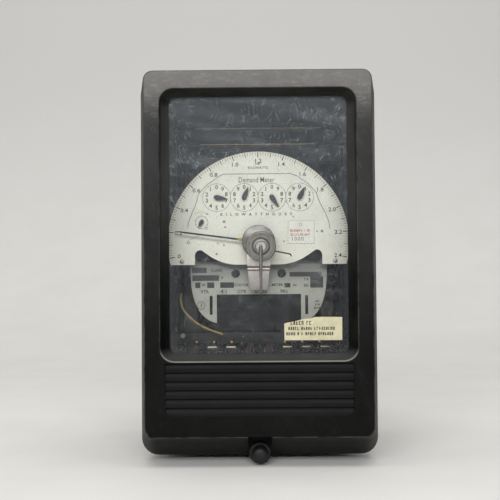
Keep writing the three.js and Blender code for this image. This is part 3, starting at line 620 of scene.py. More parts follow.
def turned(profile, x=0.0, z=0.0, steps=32):
    """A profile of (radius, y) points, spun about an axis along y through (x, z)."""
    bm = bmesh.new()
    verts = [bm.verts.new((radius, y, 0)) for radius, y in profile]
    edges = [bm.edges.new(pair) for pair in zip(verts, verts[1:])]
    bmesh.ops.spin(
        bm, geom=verts + edges, cent=(0, 0, 0), axis=(0, 1, 0), angle=2 * pi, steps=steps,
        use_merge=True,
    )
    bmesh.ops.remove_doubles(bm, verts=bm.verts, dist=WELD)
    bmesh.ops.recalc_face_normals(bm, faces=bm.faces)
    bmesh.ops.translate(bm, vec=(x, 0, z), verts=bm.verts)
    return bm


def sheet(outline, front, thickness, holes=(), edge=0.0, segments=2):
    """A flat sheet of (x, z) points with holes, its front face at y = front."""
    bm = bmesh.new()
    rims = []
    for points in (outline, *holes):
        corners = [bm.verts.new((x, front, z)) for x, z in points]
        rims += [bm.edges.new(pair) for pair in zip(corners, corners[1:] + corners[:1])]
    bmesh.ops.triangle_fill(bm, use_beauty=True, use_dissolve=True, edges=rims)
    made = bmesh.ops.extrude_face_region(bm, geom=bm.faces[:])
    back = [v for v in made["geom"] if isinstance(v, bmesh.types.BMVert)]
    bmesh.ops.translate(bm, vec=(0, thickness, 0), verts=back)
    return eased(bm, edge, segments)


def ring(x, z, radius, width, front, thickness, steps=48):
    """A flat ring about (x, z)."""
    return washer(x, z, radius - width / 2, radius + width / 2, front, front + thickness, steps)


def washer(x, z, inner, outer, front, back, steps):
    """A ring about (x, z) with its two radii and its two faces given."""
    profile = [(inner, front), (outer, front), (outer, back), (inner, back), (inner, front)]
    return turned(profile, x, z, steps)


def from_curve(curve):
    """A curve's mesh, with its seams closed."""
    holder = bpy.data.objects.new("holder", curve)
    bm = bmesh.new()
    bm.from_mesh(holder.to_mesh())
    holder.to_mesh_clear()
    bpy.data.objects.remove(holder)
    bpy.data.curves.remove(curve)
    bmesh.ops.remove_doubles(bm, verts=bm.verts, dist=WELD)
    bmesh.ops.recalc_face_normals(bm, faces=bm.faces)
    return bm


def wire(points, radius, cyclic=False, smooth=True, sides=4):
    """A round wire through points, in a smooth line or straight from each to the next."""
    curve = bpy.data.curves.new("wire", "CURVE")
    curve.dimensions = "3D"
    curve.resolution_u = 8
    curve.bevel_depth = radius
    curve.bevel_resolution = sides // 2
    curve.use_fill_caps = not cyclic
    spline = curve.splines.new("BEZIER" if smooth else "POLY")
    if smooth:
        spline.bezier_points.add(len(points) - 1)
        for knot, point in zip(spline.bezier_points, points):
            knot.co = point
            knot.handle_left_type = knot.handle_right_type = "AUTO"
    else:
        spline.points.add(len(points) - 1)
        for knot, point in zip(spline.points, points):
            knot.co = (*point, 1)
    spline.use_cyclic_u = cyclic
    return from_curve(curve)


def lettering(text, x, z, height, front, spacing=1.0, slim=0.0, wide=1.0):
    """Raised print with its middle at (x, z); height is that of a capital."""
    curve = bpy.data.curves.new("print", "FONT")
    curve.body = text
    curve.size = height / CAPITAL_SHARE
    curve.align_x = "CENTER"
    curve.align_y = "CENTER"
    curve.space_character = spacing
    curve.resolution_u = 2
    curve.extrude = INK / 2
    curve.offset = slim
    bm = from_curve(curve)
    bmesh.ops.scale(bm, vec=(wide, 1, 1), verts=bm.verts)
    place = Matrix.Translation((x, front - INK / 2, z)) @ Matrix.Rotation(pi / 2, 4, "X")
    bmesh.ops.transform(bm, matrix=place, verts=bm.verts)
    return bm


def moved(bm, x=0.0, y=0.0, z=0.0, turn=0.0, about=(0.0, 0.0)):
    """Turns a shape clockwise by degrees, seen from the front, about (x, z), then shifts it."""
    pivot = Matrix.Translation((about[0], 0, about[1]))
    spun = pivot @ Matrix.Rotation(radians(turn), 4, "Y") @ pivot.inverted()
    bmesh.ops.transform(bm, matrix=Matrix.Translation((x, y, z)) @ spun, verts=bm.verts)
    return bm


def joined(shapes):
    """Several shapes as one mesh."""
    whole = bmesh.new()
    for shape in shapes:
        holder = bpy.data.meshes.new("holder")
        shape.to_mesh(holder)
        shape.free()
        whole.from_mesh(holder)
        bpy.data.meshes.remove(holder)
    return whole


def combined(shape, other, operation):
    """A boolean join, cut or overlap of two closed shapes."""
    pair = []
    for bm in (shape, other):
        mesh = bpy.data.meshes.new("holder")
        bm.to_mesh(mesh)
        bm.free()
        pair.append(bpy.data.objects.new("holder", mesh))
        bpy.context.scene.collection.objects.link(pair[-1])
    step = pair[0].modifiers.new("join", "BOOLEAN")
    step.operation = operation
    step.solver = "EXACT"
    step.object = pair[1]
    graph = bpy.context.evaluated_depsgraph_get()
    made = bmesh.new()
    made.from_mesh(pair[0].evaluated_get(graph).data)
    for holder in pair:
        mesh = holder.data
        bpy.data.objects.remove(holder)
        bpy.data.meshes.remove(mesh)
    return made


def copied(node, edge=0.3, segments=2):
    """A frame node's shape with its edges rounded."""
    bm = bmesh.new()
    bm.from_mesh(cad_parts[node].data)
    bmesh.ops.transform(bm, matrix=TO_MAKER, verts=bm.verts)
    bmesh.ops.remove_doubles(bm, verts=bm.verts, dist=0.002)
    bmesh.ops.dissolve_limit(
        bm, angle_limit=radians(0.5), use_dissolve_boundaries=False, verts=bm.verts, edges=bm.edges
    )
    return eased(bm, edge, segments)


def piece(name, shape, body, finish, replaces=(), smooth=32.0):
    """Finishes a shape as a piece of the object, on its body."""
    bmesh.ops.transform(shape, matrix=TO_ROW, verts=shape.verts)
    mesh = bpy.data.meshes.new(name)
    shape.to_mesh(mesh)
    shape.free()
    mesh.shade_smooth()
    mesh.set_sharp_from_angle(angle=radians(smooth))
    mesh.materials.append(finish)
    made = bpy.data.objects.new(name, mesh)
    bpy.context.scene.collection.objects.link(made)
    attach(made, body)
    if replaces:
        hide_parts(*replaces)
    return made


def coat(node, finish):
    """Gives a frame node its finish."""
    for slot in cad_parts[node].material_slots:
        slot.material = finish


# ---- outlines ----
def arc(x, z, radius, start, end, steps):
    """Points on an arc about (x, z), its angles in degrees clockwise from the top."""
    turns = [radians(start + (end - start) * step / steps) for step in range(steps + 1)]
    return [(x + radius * sin(turn), z + radius * cos(turn)) for turn in turns]


def rounded(half, low, high, corner, steps=6):
    """A rectangle about x = 0 with round corners."""
    points = []
    for x, z, start in (
        (half - corner, high - corner, 0), (half - corner, low + corner, 90),
        (-half + corner, low + corner, 180), (-half + corner, high - corner, 270),
    ):
        points += arc(x, z, corner, start, start + 90, steps)
    return points


def sweep(start, lead, follow, end, steps=10):
    """A curve that leaves start towards lead and comes into end from follow."""
    points = []
    for step in range(steps + 1):
        t = step / steps
        shares = ((1 - t) ** 3, 3 * t * (1 - t) ** 2, 3 * t * t * (1 - t), t ** 3)
        knots = (start, lead, follow, end)
        points.append(tuple(sum(w * k[axis] for w, k in zip(shares, knots)) for axis in (0, 1)))
    return points


def mirrored(points):
    """The points the other side of x = 0, in the order that carries an outline on."""
    return [(-x, z) for x, z in reversed(points)]


def skin(rims):
    """Bridges rims of points, each an outline and its y, one to the next and the last to the first.

    They are bridged a metre apart and then drawn together, so rims in one plane pair up rightly.
    """
    bm = bmesh.new()
    loops, stacks = [], []
    for number, (outline, y) in enumerate(rims):
        corners = [bm.verts.new((x, y + SKIN_STEP * number, z)) for x, z in outline]
        stacks.append(corners)
        loops.append([bm.edges.new(pair) for pair in zip(corners, corners[1:] + corners[:1])])
    for near, far in zip(loops, loops[1:] + loops[:1]):
        bmesh.ops.bridge_loops(bm, edges=near + far)
    for number, corners in enumerate(stacks):
        bmesh.ops.translate(bm, vec=(0, -SKIN_STEP * number, 0), verts=corners)
    bmesh.ops.recalc_face_normals(bm, faces=bm.faces)
    return bm


# ---- cover ----
def flare(y):
    """The flared side's half width, foot and head at a depth y."""
    share = min(y / (COVER_DEPTH - RIM_DEPTH), 1)
    return (
        FACE_HALF + (RIM_HALF - FACE_HALF) * share,
        FACE_FOOT * (1 - share),
        FACE_HEAD + (COVER_HEIGHT - FACE_HEAD) * share,
    )


def outer_rims():
    """From the back of the rim over the flare and its rounded edge to the face."""
    rims = [(rounded(RIM_HALF - 0.6, 0.6, COVER_HEIGHT - 0.6, RIM_CORNER), COVER_DEPTH)]
    rims.append((rounded(RIM_HALF, 0, COVER_HEIGHT, RIM_CORNER), COVER_DEPTH - 0.8))
    rims.append((rounded(RIM_HALF, 0, COVER_HEIGHT, RIM_CORNER), COVER_DEPTH - RIM_DEPTH + 0.5))
    for step in range(5):
        y = COVER_DEPTH - RIM_DEPTH - 0.8 - (COVER_DEPTH - RIM_DEPTH - 0.8 - FACE_EDGE) * step / 4
        half, low, high = flare(y)
        corner = FACE_CORNER + (RIM_CORNER - FACE_CORNER) * y / (COVER_DEPTH - RIM_DEPTH)
        rims.append((rounded(half, low, high, corner), y))
    half, low, high = flare(FACE_EDGE)
    for turn in (25, 50, 70, 90):
        inset = FACE_EDGE * (1 - cos(radians(turn)))
        y = FACE_EDGE * (1 - sin(radians(turn)))
        rims.append((rounded(half - inset, low + inset, high - inset, FACE_CORNER), y))
    return rims


def window_rims():
    """From the face down the bevel to the window's edge, then round the seat behind it."""
    lip = 0.8
    steps = [
        (BEVEL_HALF + 0.6, BEVEL_FOOT - 0.1, BEVEL_HEAD + 0.6, 10.5, 0),
        (BEVEL_HALF + 0.15, BEVEL_FOOT + 0.25, BEVEL_HEAD + 0.15, 10.2, 0.12),
        (BEVEL_HALF - 0.15, BEVEL_FOOT + 0.6, BEVEL_HEAD - 0.15, 9.8, 0.45),
        (BEVEL_HALF - 0.4, BEVEL_FOOT + 0.85, BEVEL_HEAD - 0.4, 9.5, 1.0),
    ]
    # The sill and head sweep in as a hollow, then round over to the opening.
    for share, depth in ((0.22, 0.3), (0.36, 0.5), (0.56, 0.7), (0.8, 0.87), (1.0, 0.97)):
        steps.append((
            BEVEL_HALF - (BEVEL_HALF - OPENING_HALF) * share,
            BEVEL_FOOT + (OPENING_FOOT - BEVEL_FOOT) * share,
            BEVEL_HEAD - (BEVEL_HEAD - OPENING_HEAD) * share,
            10 - 4.5 * share,
            WINDOW_DEPTH * depth,
        ))
    steps.append((OPENING_HALF, OPENING_FOOT, OPENING_HEAD, 5.5, WINDOW_DEPTH))
    steps.append((OPENING_HALF + 4, OPENING_FOOT - 4, OPENING_HEAD + 4, 8, WINDOW_DEPTH))
    steps.append((OPENING_HALF + 8, OPENING_FOOT - 6.5, OPENING_HEAD + 7, 11, WALL + lip))
    steps.append((OPENING_HALF + 8.6, OPENING_FOOT - 7.1, OPENING_HEAD + 7.6, 11.5, WALL))
    return [(rounded(half, low, high, corner), y) for half, low, high, corner, y in steps]


def inner_rims():
    """Back along the inside of the face and the flare to the rim."""
    rims = []
    for y in (WALL, WALL + 1.2, COVER_DEPTH - RIM_DEPTH):
        half, low, high = flare(y)
        inset = WALL + (0.8 if y == WALL else 0)
        rims.append((rounded(half - inset, low + inset, high - inset, 5), y))
    half, low, high = flare(COVER_DEPTH)
    rims.append((rounded(half - WALL, low + WALL, high - WALL, 9), COVER_DEPTH))
    return rims


def louvre_cutter():
    """Six scoops, each deepest under the lip above it and curling forward to a lip of its own."""
    pitch = (LOUVRE_HEAD - LOUVRE_FOOT) / LOUVRES
    profile = [(-1.5, LOUVRE_HEAD), (-1.5, LOUVRE_FOOT)]
    for tooth in range(LOUVRES):
        for step in range(6):
            drop = 1 - step / 5
            depth = LIP_DEPTH + (LOUVRE_CUT - LIP_DEPTH) * (1 - drop ** 2)
            profile.append((depth, LOUVRE_FOOT + (tooth + 1 - drop) * pitch))
    bm = bmesh.new()
    corners = [bm.verts.new((-LOUVRE_HALF - 1, y, z)) for y, z in profile]
    side = bm.faces.new(corners)
    made = bmesh.ops.extrude_face_region(bm, geom=[side])
    far = [v for v in made["geom"] if isinstance(v, bmesh.types.BMVert)]
    bmesh.ops.translate(bm, vec=(2 * LOUVRE_HALF + 2, 0, 0), verts=far)
    bmesh.ops.recalc_face_normals(bm, faces=bm.faces)
    outline = [(LOUVRE_HALF, LOUVRE_HEAD + 1)]
    outline += arc(LOUVRE_HALF - 5, LOUVRE_FOOT + 5, 5, 90, 180, 6)
    outline += arc(-LOUVRE_HALF + 5, LOUVRE_FOOT + 5, 5, 180, 270, 6)
    outline += [(-LOUVRE_HALF, LOUVRE_HEAD + 1)]
    return combined(bm, sheet(outline, -2, 6), "INTERSECT")


def cover_moulding():
    """The cover: its flared shell, the louvres' backing, and the niche that the nut sits in."""
    shell = skin(outer_rims() + window_rims() + inner_rims())
    backing = block(
        (-LOUVRE_HALF - WALL, LOUVRE_HALF + WALL), (WALL - 1, 6),
        (LOUVRE_FOOT - WALL, OPENING_FOOT - 8), 0,
    )
    shell = combined(shell, backing, "UNION")
    cup = block(
        (-NICHE_HALF - 2.5, NICHE_HALF + 2.5), (1, NICHE_BACK + 2.5), (-1, FACE_FOOT + 2.5), 0
    )
    slope = Vector((0, -FACE_FOOT, -(COVER_DEPTH - RIM_DEPTH))).normalized()
    sides = cup.verts[:] + cup.edges[:] + cup.faces[:]
    bmesh.ops.bisect_plane(
        cup, geom=sides, plane_co=(0, 0.05, FACE_FOOT), plane_no=slope, clear_outer=True
    )
    bmesh.ops.holes_fill(cup, edges=cup.edges)
    bmesh.ops.recalc_face_normals(cup, faces=cup.faces)
    shell = combined(shell, cup, "UNION")
    niche = block((-NICHE_HALF, NICHE_HALF), (-2, NICHE_BACK), (-6, FACE_FOOT + 0.2), 0)
    shell = combined(shell, niche, "DIFFERENCE")
    shank = turned([(0, NICHE_BACK - 2), (4.3, NICHE_BACK - 2), (4.3, 45), (0, 45)], 0, NUT_Z, 24)
    shell = combined(shell, shank, "DIFFERENCE")
    shell = combined(shell, louvre_cutter(), "DIFFERENCE")
    piece("cover_moulding", shell, "cover", moulding, ["cover_frame"], 24)


def hanging_rib():
    """The rib inside the cover's head that hooks over the case's tab."""
    rib = block((-21.8, 21.8), (19, COVER_DEPTH - 0.2), (262.4, 266.9), 0.5)
    webs = [block((x - 0.8, x + 0.8), (6, 19.2), (262.6, 266.9), 0.3) for x in (-14, 0, 14)]
    piece("hanging_rib", joined([rib, *webs]), "cover", moulding)


def thumb_nut():
    """A moulded knob with a domed end and a milled collar behind it."""
    low, high = span("thumb_nut")
    collar = high.x
    head = 5.5
    front = low.y
    knob = [(0, front), (2.4, front + 0.12), (3.9, front + 0.6), (4.9, front + 1.5)]
    knob += [(head, front + 2.9), (head, front + 10.6), (5.0, front + 11.4), (5.2, front + 11.9)]
    rim = [(collar - 0.7, front + 12.1), (collar, front + 12.8), (collar, front + 13.8)]
    rim += [(collar - 0.5, front + 14.5), (3.9, front + 14.5), (3.9, high.y - 0.3), (3.6, high.y)]
    rim += [(2.8, high.y), (2.8, front + 4), (0, front + 4)]
    shapes = [turned(knob + rim, 0, NUT_Z, 48)]
    for step in range(24):
        crest = NUT_Z + head
        rib = block((-0.28, 0.28), (front + 4.2, front + 10.2), (crest - 0.25, crest + 0.16), 0.1, 1)
        shapes.append(moved(rib, turn=step * 15, about=(0, NUT_Z)))
    piece("thumb_nut_knob", joined(shapes), "thumb_nut", dark_shellac, ["thumb_nut"])


# ---- dial ----
def dial_outline():
    """The round dial with its straight foot and the two notches that clear the nameplate."""
    foot = sqrt(DIAL_RADIUS ** 2 - DIAL_CHORD ** 2)
    tilt = degrees(asin(foot / DIAL_RADIUS))
    right = [(16, DIAL_CHORD)] + sweep(
        (16, DIAL_CHORD), (32, -16), (39.5, -5.9), (42.4, -5.7), 12
    )[1:]
    right += arc(42.4, -9.7, 4.0, 0, 90, 6)[1:] + [(46.4, DIAL_CHORD)]
    rim = arc(0, 0, DIAL_RADIUS, 180 - tilt, tilt - 180, 96)
    outline = right + rim + mirrored(right)
    return [(x, DIAL_Z + z) for x, z in outline]


def dial_plate():
    """The enamelled dial."""
    plate = sheet(dial_outline(), DIAL_FACE, DIAL_THICKNESS, edge=0.12, segments=1)
    piece("demand_dial", plate, "chassis", dial_enamel, ["dial_plate"], 40)


def tick(angle, length, width):
    """A mark on the scale that runs in from the rim."""
    mark = block(
        (-width / 2, width / 2), (DIAL_FACE - INK, DIAL_FACE + 0.02),
        (DIAL_Z + TICK_RADIUS - length, DIAL_Z + TICK_RADIUS), 0,
    )
    return moved(mark, turn=angle, about=(0, DIAL_Z))


def demand_scale():
    """Marks every 0.02 from 0 to 2.4, longer ones each 0.1, numbers each 0.2."""
    marks = []
    for step in range(121):
        angle = -SCALE_TURN + 2 * SCALE_TURN * step / 120
        size = (3.6, 0.66) if step % 10 == 0 else (3.2, 0.52) if step % 5 == 0 else (2.1, 0.3)
        marks.append(tick(angle, *size))
    piece("scale_marks", joined(marks), "chassis", black_ink)
    numbers = []
    for step in range(13):
        angle = radians(-SCALE_TURN + 2 * SCALE_TURN * step / 12)
        label = "0" if step == 0 else f"{step * 0.2:.1f}"
        reach = NUMBER_RADIUS - 0.5 * abs(sin(angle))
        x, z = reach * sin(angle), DIAL_Z + reach * cos(angle)
        numbers.append(lettering(label, x, z, 3.0, DIAL_FACE, slim=0.06, wide=1.14))
    piece("scale_numbers", joined(numbers), "chassis", black_ink)


def dial_print():
    """The word for the unit under the scale, the word under the register, and the border line."""
    words = [
        lettering("KILOWATTS", 0, DIAL_Z + 54.2, 1.8, DIAL_FACE, spacing=1.1, slim=0.04),
        lettering("KILOWATTHOURS", -1.6, DIAL_Z + 20.2, 2.1, DIAL_FACE, spacing=2.62, slim=0.07),
    ]
    piece("unit_words", joined(words), "chassis", black_ink)
    title = lettering("Demand Meter", -1.2, DIAL_Z + 45.3, 4.1, DIAL_FACE, slim=0.02, wide=0.76)
    piece("title_word", title, "chassis", grey_ink)
    left = [(-51.4, 11.0), (-51, 14.6), (-48.6, 20.7), (-45.6, 27.4), (-43.6, 35.2)]
    left += [(-38.4, 41.1), (-28.8, 48), (-25.2, 49.8)]
    right = [(23.5, 49.9), (28.1, 48.3), (36.8, 42.2), (42.4, 36), (44.5, 29.4)]
    right += [(48.6, 21.7), (51.1, 15.6), (52.3, 9.5)]
    path = [(x, DIAL_FACE, DIAL_Z + z) for x, z in left + right]
    piece("border_line", wire(path, 0.2, smooth=False), "chassis", black_ink)


def register_dial(x, z, clockwise):
    """A ring with ten numbers inside it and a dot on it at each."""
    shapes = [ring(x, z, REGISTER_RING, 0.24, DIAL_FACE - INK, INK * 1.4)]
    for digit in range(10):
        turn = 36 * digit * (1 if clockwise else -1)
        place = arc(x, z, 7.5, turn, turn, 1)[0]
        shapes.append(lettering(str(digit), *place, 3.1, DIAL_FACE, slim=0.08))
        dot = arc(x, z, REGISTER_RING, turn, turn, 1)[0]
        shapes.append(turned(
            [(0, DIAL_FACE - INK), (0.28, DIAL_FACE - INK), (0.28, DIAL_FACE), (0, DIAL_FACE)], *dot, 8
        ))
    return shapes


def register_print():
    """The four register dials and the small test dial with its arrow."""
    shapes = []
    for place in range(4):
        x = (place - 1.5) * REGISTER_PITCH
        shapes += register_dial(x, DIAL_Z + REGISTER_RISE, place % 2 == 1)
    z = DIAL_Z + TEST_RISE
    shapes.append(ring(TEST_X, z, TEST_RING, 0.26, DIAL_FACE - INK, INK * 1.4, 32))
    for step in range(10):
        mark = block(
            (TEST_X - 0.12, TEST_X + 0.12), (DIAL_FACE - INK, DIAL_FACE), (z + 3.7, z + 4.6), 0
        )
        shapes.append(moved(mark, turn=36 * step, about=(TEST_X, z)))
    shapes.append(lettering("0", TEST_X, z + 5.9, 1.1, DIAL_FACE))
    sweep_line = [(px, DIAL_FACE, pz) for px, pz in arc(TEST_X, z, 7.7, -38, 36, 8)]
    shapes.append(wire(sweep_line, 0.11))
    tip = arc(TEST_X, z, 7.7, 44, 44, 1)[0]
    shapes.append(sheet(
        [(tip[0] - 1.5, tip[1] + 1.3), tip, (tip[0] - 1.9, tip[1] + 0.2)], DIAL_FACE - INK, INK
    ))
    piece("register_print", joined(shapes), "chassis", black_ink)


def leaf_pointer(length, half, tail):
    """A stamped teardrop pointer that points up from (0, 0), with its boss."""
    left = sweep((0, -tail), (-half * 1.25, -tail), (-half * 1.15, length * 0.3), (-0.22, length), 10)
    blade = sheet(left + mirrored(left)[:-1], 0, 0.5, edge=0.12)
    boss = turned([(0, -0.5), (0.9, -0.45), (1.1, -0.2), (1.1, 0.3), (0, 0.3)], steps=16)
    return joined([blade, boss])


def register_pointers():
    """The four register pointers and the test dial's pointer, each on its own arbor."""
    for place, angle in enumerate(REGISTER_ANGLES):
        node = f"register_pointer_{place + 1}"
        front = span(node)[0].y + 0.12
        x, z = (place - 1.5) * REGISTER_PITCH, DIAL_Z + REGISTER_RISE
        leaf = moved(moved(leaf_pointer(7.9, 2.05, 2.1), x, front, z), turn=angle, about=(x, z))
        piece(f"register_hand_{place + 1}", leaf, node, pointer_lacquer, [node])
    front = span("test_pointer")[0].y + 0.12
    z = DIAL_Z + TEST_RISE
    leaf = moved(leaf_pointer(3.9, 1.6, 2.2), TEST_X, front, z)
    leaf = moved(leaf, turn=TEST_ANGLE, about=(TEST_X, z))
    piece("test_hand", leaf, "test_pointer", pointer_lacquer, ["test_pointer"])


def demand_needle():
    """The black demand needle, its hub disc and the dab of sealing paint where they meet."""
    low, high = span("demand_pointer")
    blade = sheet([
        (-0.8, 5), (0.8, 5), (0.7, 20), (0.62, NEEDLE_REACH - 6), (0.18, NEEDLE_REACH),
        (-0.18, NEEDLE_REACH), (-0.62, NEEDLE_REACH - 6), (-0.7, 20),
    ], low.y + 0.1, 0.7, edge=0.15)
    fold = block((-0.18, 0.18), (low.y + 0.1, low.y + 0.85), (8, NEEDLE_REACH - 5), 0.05, 1)
    hub = turned([
        (1.3, low.y), (7.2, low.y), (7.5, low.y + 0.3), (7.5, high.y), (1.3, high.y), (1.3, low.y)
    ], steps=40)
    needle = moved(joined([blade, fold, hub]), z=DIAL_Z)
    needle = moved(needle, turn=NEEDLE_ANGLE, about=(0, DIAL_Z))
    piece("demand_needle", needle, "demand_pointer", needle_lacquer, ["demand_pointer"])
    dab = turned([(0, -0.5), (0.7, -0.42), (1.1, -0.1), (1.15, 0.2), (0, 0.25)], steps=16)
    bmesh.ops.scale(dab, vec=(1, 1, 2.0), verts=dab.verts)
    dab = moved(dab, 0, low.y + 0.05, DIAL_Z + 13.1)
    dab = moved(dab, turn=NEEDLE_ANGLE, about=(0, DIAL_Z))
    piece("seal_dab", dab, "demand_pointer", seal_paint)


def hub():
    """The friction hub: a turned disc behind, a thicker one in front, set off to the lever's axis."""
    back = span("hub_housing")[1].y
    face, rim, bore = HUB_FACE, HUB_RADIUS, 1.2
    rear = turned([
        (bore, face), (rim - 0.6, face), (rim - 0.1, face + 0.3), (rim, face + 0.8),
        (rim, face + 1.7), (rim - 0.3, face + 2), (bore, face + 2), (bore, face),
    ], 0, DIAL_Z, 72)
    tip = face - 1.6
    arbor = turned([(0, tip), (0.85, tip), (0.85, back - 0.2), (0, back - 0.2)], 0, DIAL_Z, 16)
    piece("hub_disc", joined([rear, arbor]), "chassis", hub_metal, ["hub_housing"])
    face, rim, neck = CAP_FACE, CAP_RADIUS, 2.2
    front = turned([
        (0, face + 0.9), (5.8, face + 0.9), (6.0, face + 0.4), (6.4, face), (8.5, face),
        (8.7, face + 0.35), (9.3, face + 0.35), (9.5, face + 0.05), (rim - 0.5, face + 0.1),
        (rim, face + 0.5), (rim, face + 2.5), (rim - 0.3, face + 3), (neck, face + 3),
        (neck, HUB_FACE - 0.2), (0, HUB_FACE - 0.2),
    ], LEVER_X, DIAL_Z - LEVER_DROP, 72)
    piece("hub_cap", front, "chassis", cap_metal)


def reset_lever():
    """The reset disc with its slotted screw, the long rod that hangs from it and the bent tail."""
    x, z = LEVER_X, DIAL_Z - LEVER_DROP
    face, back, rim = RESET_FACE, RESET_FACE + 1.2, 5.1
    disc = turned([
        (0, face), (3.5, face), (3.7, face - 0.5), (4.2, face - 0.95), (4.7, face - 0.8),
        (rim, face - 0.3), (rim, face + 1), (1.4, back), (0, back),
    ], x, z, 56)
    slot = block((x - 0.45, x + 0.45), (face - 2.5, face + 0.5), (z - 3.2, z + 3.9), 0)
    disc = combined(disc, slot, "DIFFERENCE")
    piece("reset_disc", disc, "reset_lever", lever_steel, ["reset_lever"], 28)
    middle, foot, front = x - 0.1, z - ROD_LENGTH, face - 1.15
    # The rod's flat is in the darkened steel as painted shade on its edges; the ridge down its middle
    # keeps the lever's own steel.
    rod = sheet([
        (middle - 1.45, z - 1.5), (middle - 0.75, foot), (middle + 0.75, foot),
        (middle + 1.45, z - 1.5), (middle + 0.9, z + 0.6), (middle - 0.9, z + 0.6),
    ], front, 0.55, edge=0.12)
    front -= 0.05
    ridge = wire([(middle, front, z), (middle, front, foot + 0.4)], 0.42, smooth=False, sides=8)
    piece("reset_rod", rod, "reset_lever", shaded_rod_steel)
    piece("rod_ridge", ridge, "reset_lever", lever_steel)
    front = TAIL_FACE
    tail = wire([
        (x + 1.5, front - 0.4, z - 1.6), (x + 10, front, z - 3.3), (x + 19.5, front, z - 5.2),
        (x + 21.2, front, z - 5.7), (x + 21.9, front, z - 7.2),
    ], 0.5, smooth=False, sides=8)
    piece("reset_tail", tail, "reset_lever", needle_lacquer)


def hub_bracket():
    """The bent bracket below the hub: a bright upper fold, paler than the apron partly as a painted
    highlight, then a sheet that narrows to its foot.
    """
    back = span("hub_bracket")[1].y
    head, bend, foot = (DIAL_Z + rise for rise in (BRACKET_HEAD, BRACKET_BEND, BRACKET_FOOT))
    folds = [
        block((-8.5, 8.5), (37.9, 39.2), (bend + 2.2, head), 0.35),
        block((-8.3, 8.3), (38.6, 41.4), (bend - 0.6, bend + 0.9), 0.5, 3),
    ]
    piece("bracket_fold", joined(folds), "chassis", pale_steel, ["hub_bracket"])
    seam = block((-8.2, 8.2), (38.9, 40.6), (bend + 0.8, bend + 2.3), 0.2)
    piece("bracket_seam", seam, "chassis", brown_metal)
    apron = sheet([
        (-8.1, bend), (8.1, bend), (6.5, foot + 0.4), (5.9, foot), (-5.9, foot),
        (-6.5, foot + 0.4),
    ], 40.4, 1.2, edge=0.25)
    stay = block((-5.2, 5.2), (41.2, back), (foot, foot + 1.2), 0.3)
    piece("bracket_apron", joined([apron, stay]), "chassis", apron_steel)


# ---- nameplate ----
def plate_outline():
    """A shallow apron: straight sides that curve in below, then two legs either side of the slot."""
    slot_half, slot_head = 31.0, -38.2
    right = [(slot_half, slot_head), (slot_half, -59.2)]
    right += sweep((slot_half, -59.2), (42.5, -56.8), (48.2, -46), (49.8, -31), 12)[1:]
    right += [(50.7, -11.8), (17.5, -11.5)]
    left = mirrored(right)
    return [(x, DIAL_Z + z) for x, z in right + left]


def tall_slot(left):
    """A narrow upright slot beside the nameplate's window."""
    right, low, high = left + 2.1, DIAL_Z - 53, DIAL_Z - 39.2
    return [(left, low), (right, low), (right, high), (left, high)]


def name_plate():
    """The nameplate with its print: dark boxes, short words and a ringed figure."""
    slots = [tall_slot(34.1), tall_slot(-36.2)]
    plate = sheet(plate_outline(), PLATE_FACE, PLATE_BACK - PLATE_FACE, slots, 0.1, 1)
    piece("ratings_plate", plate, "chassis", plate_metal, ["name_plate"], 40)
    bars = [
        (-49.2, -38.3, -22.2, -18.3), (-48.9, -29.2, -28.1, -23.9), (-46.8, -43.0, -33.3, -29.2),
        (-38.0, -32.8, -33.3, -29.2), (-28.4, -18.3, -33.3, -29.2), (22.7, 46.2, -25.4, -21.9),
        (37.9, 47.4, -33.6, -25.2), (18.9, 23.3, -33.3, -30.1),
    ]
    boxes = [
        block((x0, x1), (PLATE_FACE - INK, PLATE_FACE + 0.02), (DIAL_Z + z0, DIAL_Z + z1), 0)
        for x0, x1, z0, z1 in bars
    ]
    piece("plate_boxes", joined(boxes), "chassis", plate_ink)
    words = [
        ("CLASS", -31.0, -20.4, 2.2), ("V", -26.9, -26.0, 2.2), ("W", -40.6, -31.3, 2.2),
        ("STATOR", -12.8, -31.4, 2.0), ("METER", 13.6, -31.4, 2.0), ("Hz", 26.4, -31.6, 1.8),
        ("TA", 34.9, -27.4, 2.1), ("Kh", 34.9, -32.0, 2.1), ("VTR", -39.8, -36.2, 2.4),
        ("4:1", -25.6, -36.0, 3.1), ("CTR", -12.4, -36.2, 2.4), ("600:5", 1.8, -36.0, 3.0),
        ("PKh", 18.6, -36.2, 2.4), ("AC", 43.0, -43.6, 1.6), ("3 W", 43.0, -46.1, 1.6),
        ("60 Hz", 43.0, -48.6, 1.6),
    ]
    shapes = [
        lettering(text, x, DIAL_Z + z, size, PLATE_FACE, slim=0.07) for text, x, z, size in words
    ]
    shapes.append(ring(-42.6, DIAL_Z - 46.2, 2.85, 0.35, PLATE_FACE - INK, INK, 32))
    shapes.append(lettering("3", -42.6, DIAL_Z - 46.2, 2.8, PLATE_FACE))
    piece("plate_print", joined(shapes), "chassis", plate_ink)


def slot_backing():
    """The dark plate that closes the nameplate's slot from behind."""
    backing = block((-36.5, 36.5), (PLATE_BACK + 0.2, PLATE_BACK + 0.9), (87, DIAL_Z - 36), 0.25)
    piece("slot_backing", backing, "chassis", dark_sheet)


def plate_screws():
    """The two round-headed screws either side of the bracket."""
    for side, x in (("left", -17.0), ("right", 17.0)):
        z = DIAL_Z - 22.8
        front = PLATE_FACE - 1.1
        head = turned([
            (0, front + 0.25), (2.2, front + 0.1), (3.0, front + 0.35), (3.2, front + 0.8),
            (3.2, PLATE_FACE - 0.02), (0, PLATE_FACE - 0.02),
        ], x, z, 32)
        cut = block((x - 0.4, x + 0.4), (front - 1, front + 0.75), (z - 3.5, z + 3.5), 0)
        cut = moved(cut, turn=25 if x > 0 else -12, about=(x, z))
        head = combined(head, cut, "DIFFERENCE")
        piece(f"plate_screw_{side}", head, "chassis", dark_shellac)


